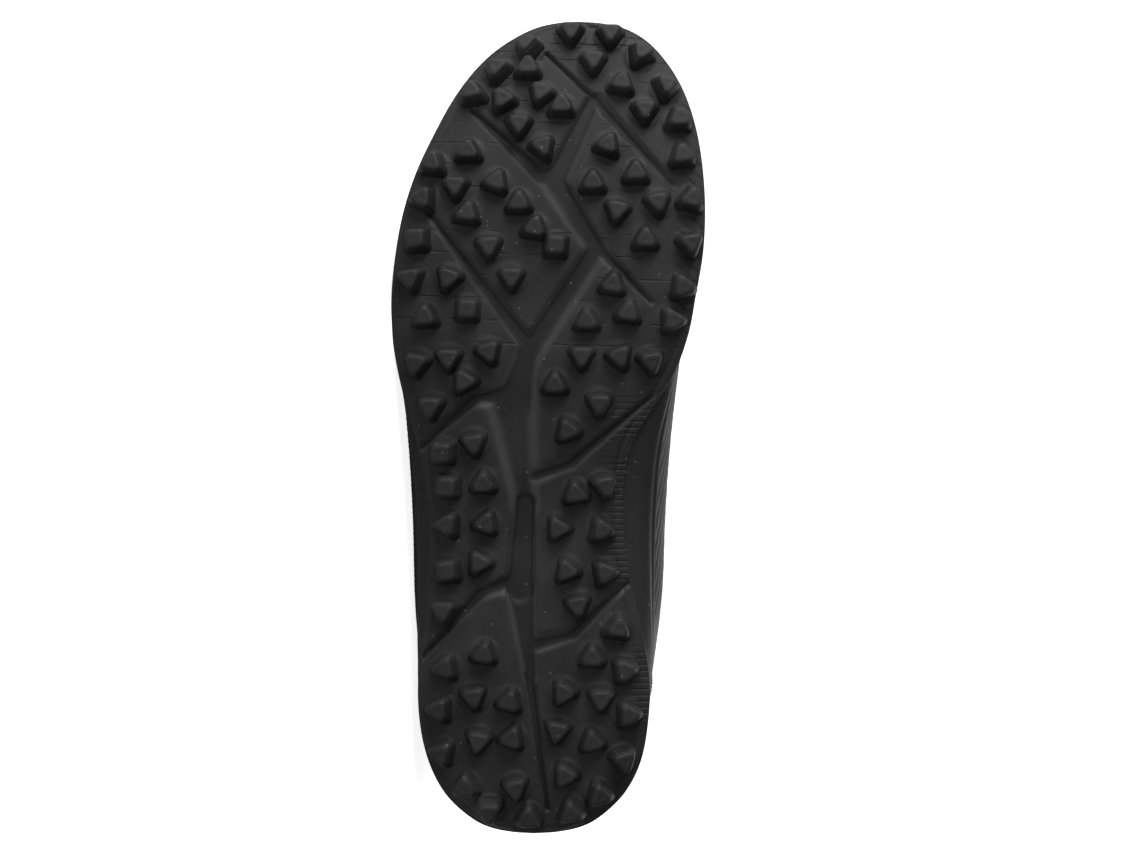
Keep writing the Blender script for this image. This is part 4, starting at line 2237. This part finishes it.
@dataclass
class Lace:
    """The flat lace: a bar over the toe-end pair of eyelets and crossings up to the top pair."""

    last: Last
    groups: Groups
    steps: int = 44
    clear: float = 1.35 * MM
    dive: float = 3.4 * MM

    ROUNDNESS = (0.45, 0.8)
    SINK_AT, PINCH_AT, CROSS_AT = 0.035, 0.06, 0.17
    PINCH_WIDTH, PINCH_THICKNESS = 0.48, 0.35
    CROSS_LIFT, CROSS_DIP = 0.62, 0.3 * MM

    def build(self) -> Object:
        """Makes every run of the lace as one object.

        Returns:
            Its object.
        """
        s = self.last.sizes
        holes = {(e["pair"], e["side"]): e for e in self.last.eyelets()}
        low = s.eyelet_pairs - 1
        skin = Skin()
        self._run(skin, holes[low, -1], holes[low, 1], 0.0)
        for pair in range(low, 0, -1):
            over = 1 if pair % 2 else -1
            self._run(skin, holes[pair, -1], holes[pair - 1, 1], over)
            self._run(skin, holes[pair, 1], holes[pair - 1, -1], -over)
        return skin.build("lace_runs", self.last.frame, [LACE_WEAVE.material(self.groups)])

    def _run(self, skin: Skin, start: dict, end: dict, over: float) -> None:
        """Lays one run from eyelet to eyelet, with both ends dipping into the holes.

        Args:
            skin: the lace's skin.
            start: the eyelet that it comes out of.
            end: the eyelet that it goes into.
            over: 1 where it passes over the other run, -1 where it passes under, 0 where it meets none.
        """
        s = self.last.sizes
        t = np.linspace(0, 1, self.steps + 1)
        at, across = (mix(start[key], end[key], t) for key in ("at", "across"))
        point, outs = self.last.surface(at, across)
        away = np.minimum(t, 1 - t)
        sink = np.exp(-((away / self.SINK_AT) ** 2))
        pinch = np.exp(-((away / self.PINCH_AT) ** 2))
        cross = self.CROSS_LIFT * s.lace_thickness * over * np.exp(-(((t - 0.5) / self.CROSS_AT) ** 2))
        lift = s.eyestay_step + self.clear + s.lace_thickness / 2 + np.maximum(cross, -self.CROSS_DIP)
        centre = point + outs * (lift - (lift + self.dive) * sink)[:, None]
        wide = s.lace_width * (1 - self.PINCH_WIDTH * pinch)
        thick = s.lace_thickness * (1 + self.PINCH_THICKNESS * pinch)
        side = unit(np.cross(outs, end["point"] - start["point"]))
        up = unit(np.cross(unit(np.gradient(centre, axis=0)), side))
        turns = angles(16)
        c, v = np.cos(turns), np.sin(turns)
        w, h = (np.sign(k) * np.abs(k) ** power for k, power in zip((c, v), self.ROUNDNESS))
        wide, thick = wide[:, None, None], thick[:, None, None]
        ring = centre[:, None] + side[:, None] * w[:, None] * wide / 2 + up[:, None] * h[:, None] * thick / 2
        run = np.broadcast_arrays(travelled(centre)[:, None], w * s.lace_width / 2, 0.0)
        skin.tube(ring, np.stack(run, -1), (centre[0], centre[-1]))


# ---- Studio ----


@dataclass
class Studio:
    """Floor, backdrop, soft lights and the camera."""

    frame: ShoeFrame
    width: float = 16.0
    back: float = 3.0
    front: float = 8.0
    curve: float = 0.9
    top: float = 3.4
    surround: float = 0.16
    picture_scale: float = 0.3453 * MM
    centre_along: float = 140.8 * MM
    centre_across: float = 10.3 * MM
    distance: float = 0.72

    AIM = (0.0, 0.0, 0.05)
    SENSOR = 36.0
    LIGHTS = (
        ("toe panel", (-1.5, -0.9, 0.5), 1.2, 44.0),
        ("toe side panel", (-1.7, 0.1, 0.6), 1.2, 14.0),
        ("front panel", (-0.5, -2.0, 1.2), 1.4, 6.0),
        ("back panel", (0.5, 1.3, 1.5), 1.4, 16.0),
    )

    def floor(self) -> Object:
        """Makes the floor with its backdrop as one curved sheet.

        Returns:
            Its object.
        """
        bend = self.back - self.curve
        profile = [(-self.front, 0.0), (-0.5, 0.0), (0.3, 0.0), (bend, 0.0)]
        for k in range(1, 17):
            a = math.pi / 2 * k / 16
            profile.append((bend + self.curve * math.sin(a), self.curve * (1 - math.cos(a))))
        profile.append((self.back, self.top))
        skin = Skin()
        skin.grid(skin.add([[(x, y, z) for y, z in profile] for x in (-self.width / 2, self.width / 2)]))
        thing = skin.build("studio_floor", None, [STUDIO_PAPER.material()])
        if sum(p.normal.z for p in thing.data.polygons) < 0:
            thing.data.flip_normals()
        return thing

    def lights(self) -> None:
        """Sets soft panels towards the toe and above the camera, and a bright even surrounding."""
        world = bpy.data.worlds.new("studio")
        world.use_nodes = True
        nodes = Nodes(world.node_tree)
        ground = world.node_tree.nodes["Background"]
        ground.inputs["Color"].default_value = WHITE
        nodes.link(nodes.seen(self.surround, 1.0), ground.inputs["Strength"])
        bpy.context.scene.world = world
        bpy.context.scene.view_settings.view_transform = "Standard"
        for name, place, size, power in self.LIGHTS:
            light = bpy.data.lights.new(name, "AREA")
            light.shape, light.size, light.energy = "SQUARE", size, power
            lamp = linked(name, light)
            lamp.location = place
            lamp.rotation_euler = (Vector(self.AIM) - lamp.location).to_track_quat("-Z", "Y").to_euler()
            lamp.visible_camera = False

    def camera(self) -> None:
        """Sets the camera square to the sole, with the toe up in the picture."""
        frame = self.frame
        data = bpy.data.cameras.new("camera")
        data.sensor_width = self.SENSOR
        data.lens = self.SENSOR * self.distance / (PICTURE_WIDTH * self.picture_scale)
        data.clip_start, data.clip_end = 0.01, 20.0
        camera = linked("camera", data)
        place = frame.place(np.array([self.centre_along, self.centre_across, -self.distance + 8 * MM]))
        x, y, z = frame.axes
        camera.matrix_world = Matrix([[y[k], x[k], -z[k], place[k]] for k in range(3)] + [[0, 0, 0, 1]])
        bpy.context.scene.camera = camera


def main() -> None:
    """Builds the shoe part by part, then the studio."""
    logging.basicConfig(level=logging.INFO, format="%(message)s")
    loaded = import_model()
    frame = ShoeFrame.from_record(loaded["record"])
    sizes = ShoeSizes()
    sole = Sole(frame, sizes)
    last = Last(sole)
    groups, stamps = Groups(), StampTree()
    outsole, upper = Outsole(sole, groups), Upper(last, groups)
    pieces = (
        (outsole.plate, ("outsole",), "rubber"),
        (lambda: outsole.studs(stamps), ("outsole",), "rubber"),
        (Midsole(sole, groups).build, ("midsole",), "foam"),
        (upper.build, ("upper",), "synthetic_leather"),
        (lambda: upper.stitches(stamps), (), "lace_fabric"),
        (Insole(sole, groups).build, ("insole",), "insole_fabric"),
        (Tongue(last, groups).build, ("tongue",), "tongue_fabric"),
        (Lace(last, groups).build, ("lace",), "lace_fabric"),
    )
    for make, nodes, slot in pieces:
        piece = make()
        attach(piece, "root")
        if nodes:
            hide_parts(*nodes)
        LOG.info("%s: %d faces", piece.name, len(piece.data.polygons))
    studio = Studio(frame)
    studio.floor()
    studio.lights()
    studio.camera()


if __name__ == "__main__":
    main()
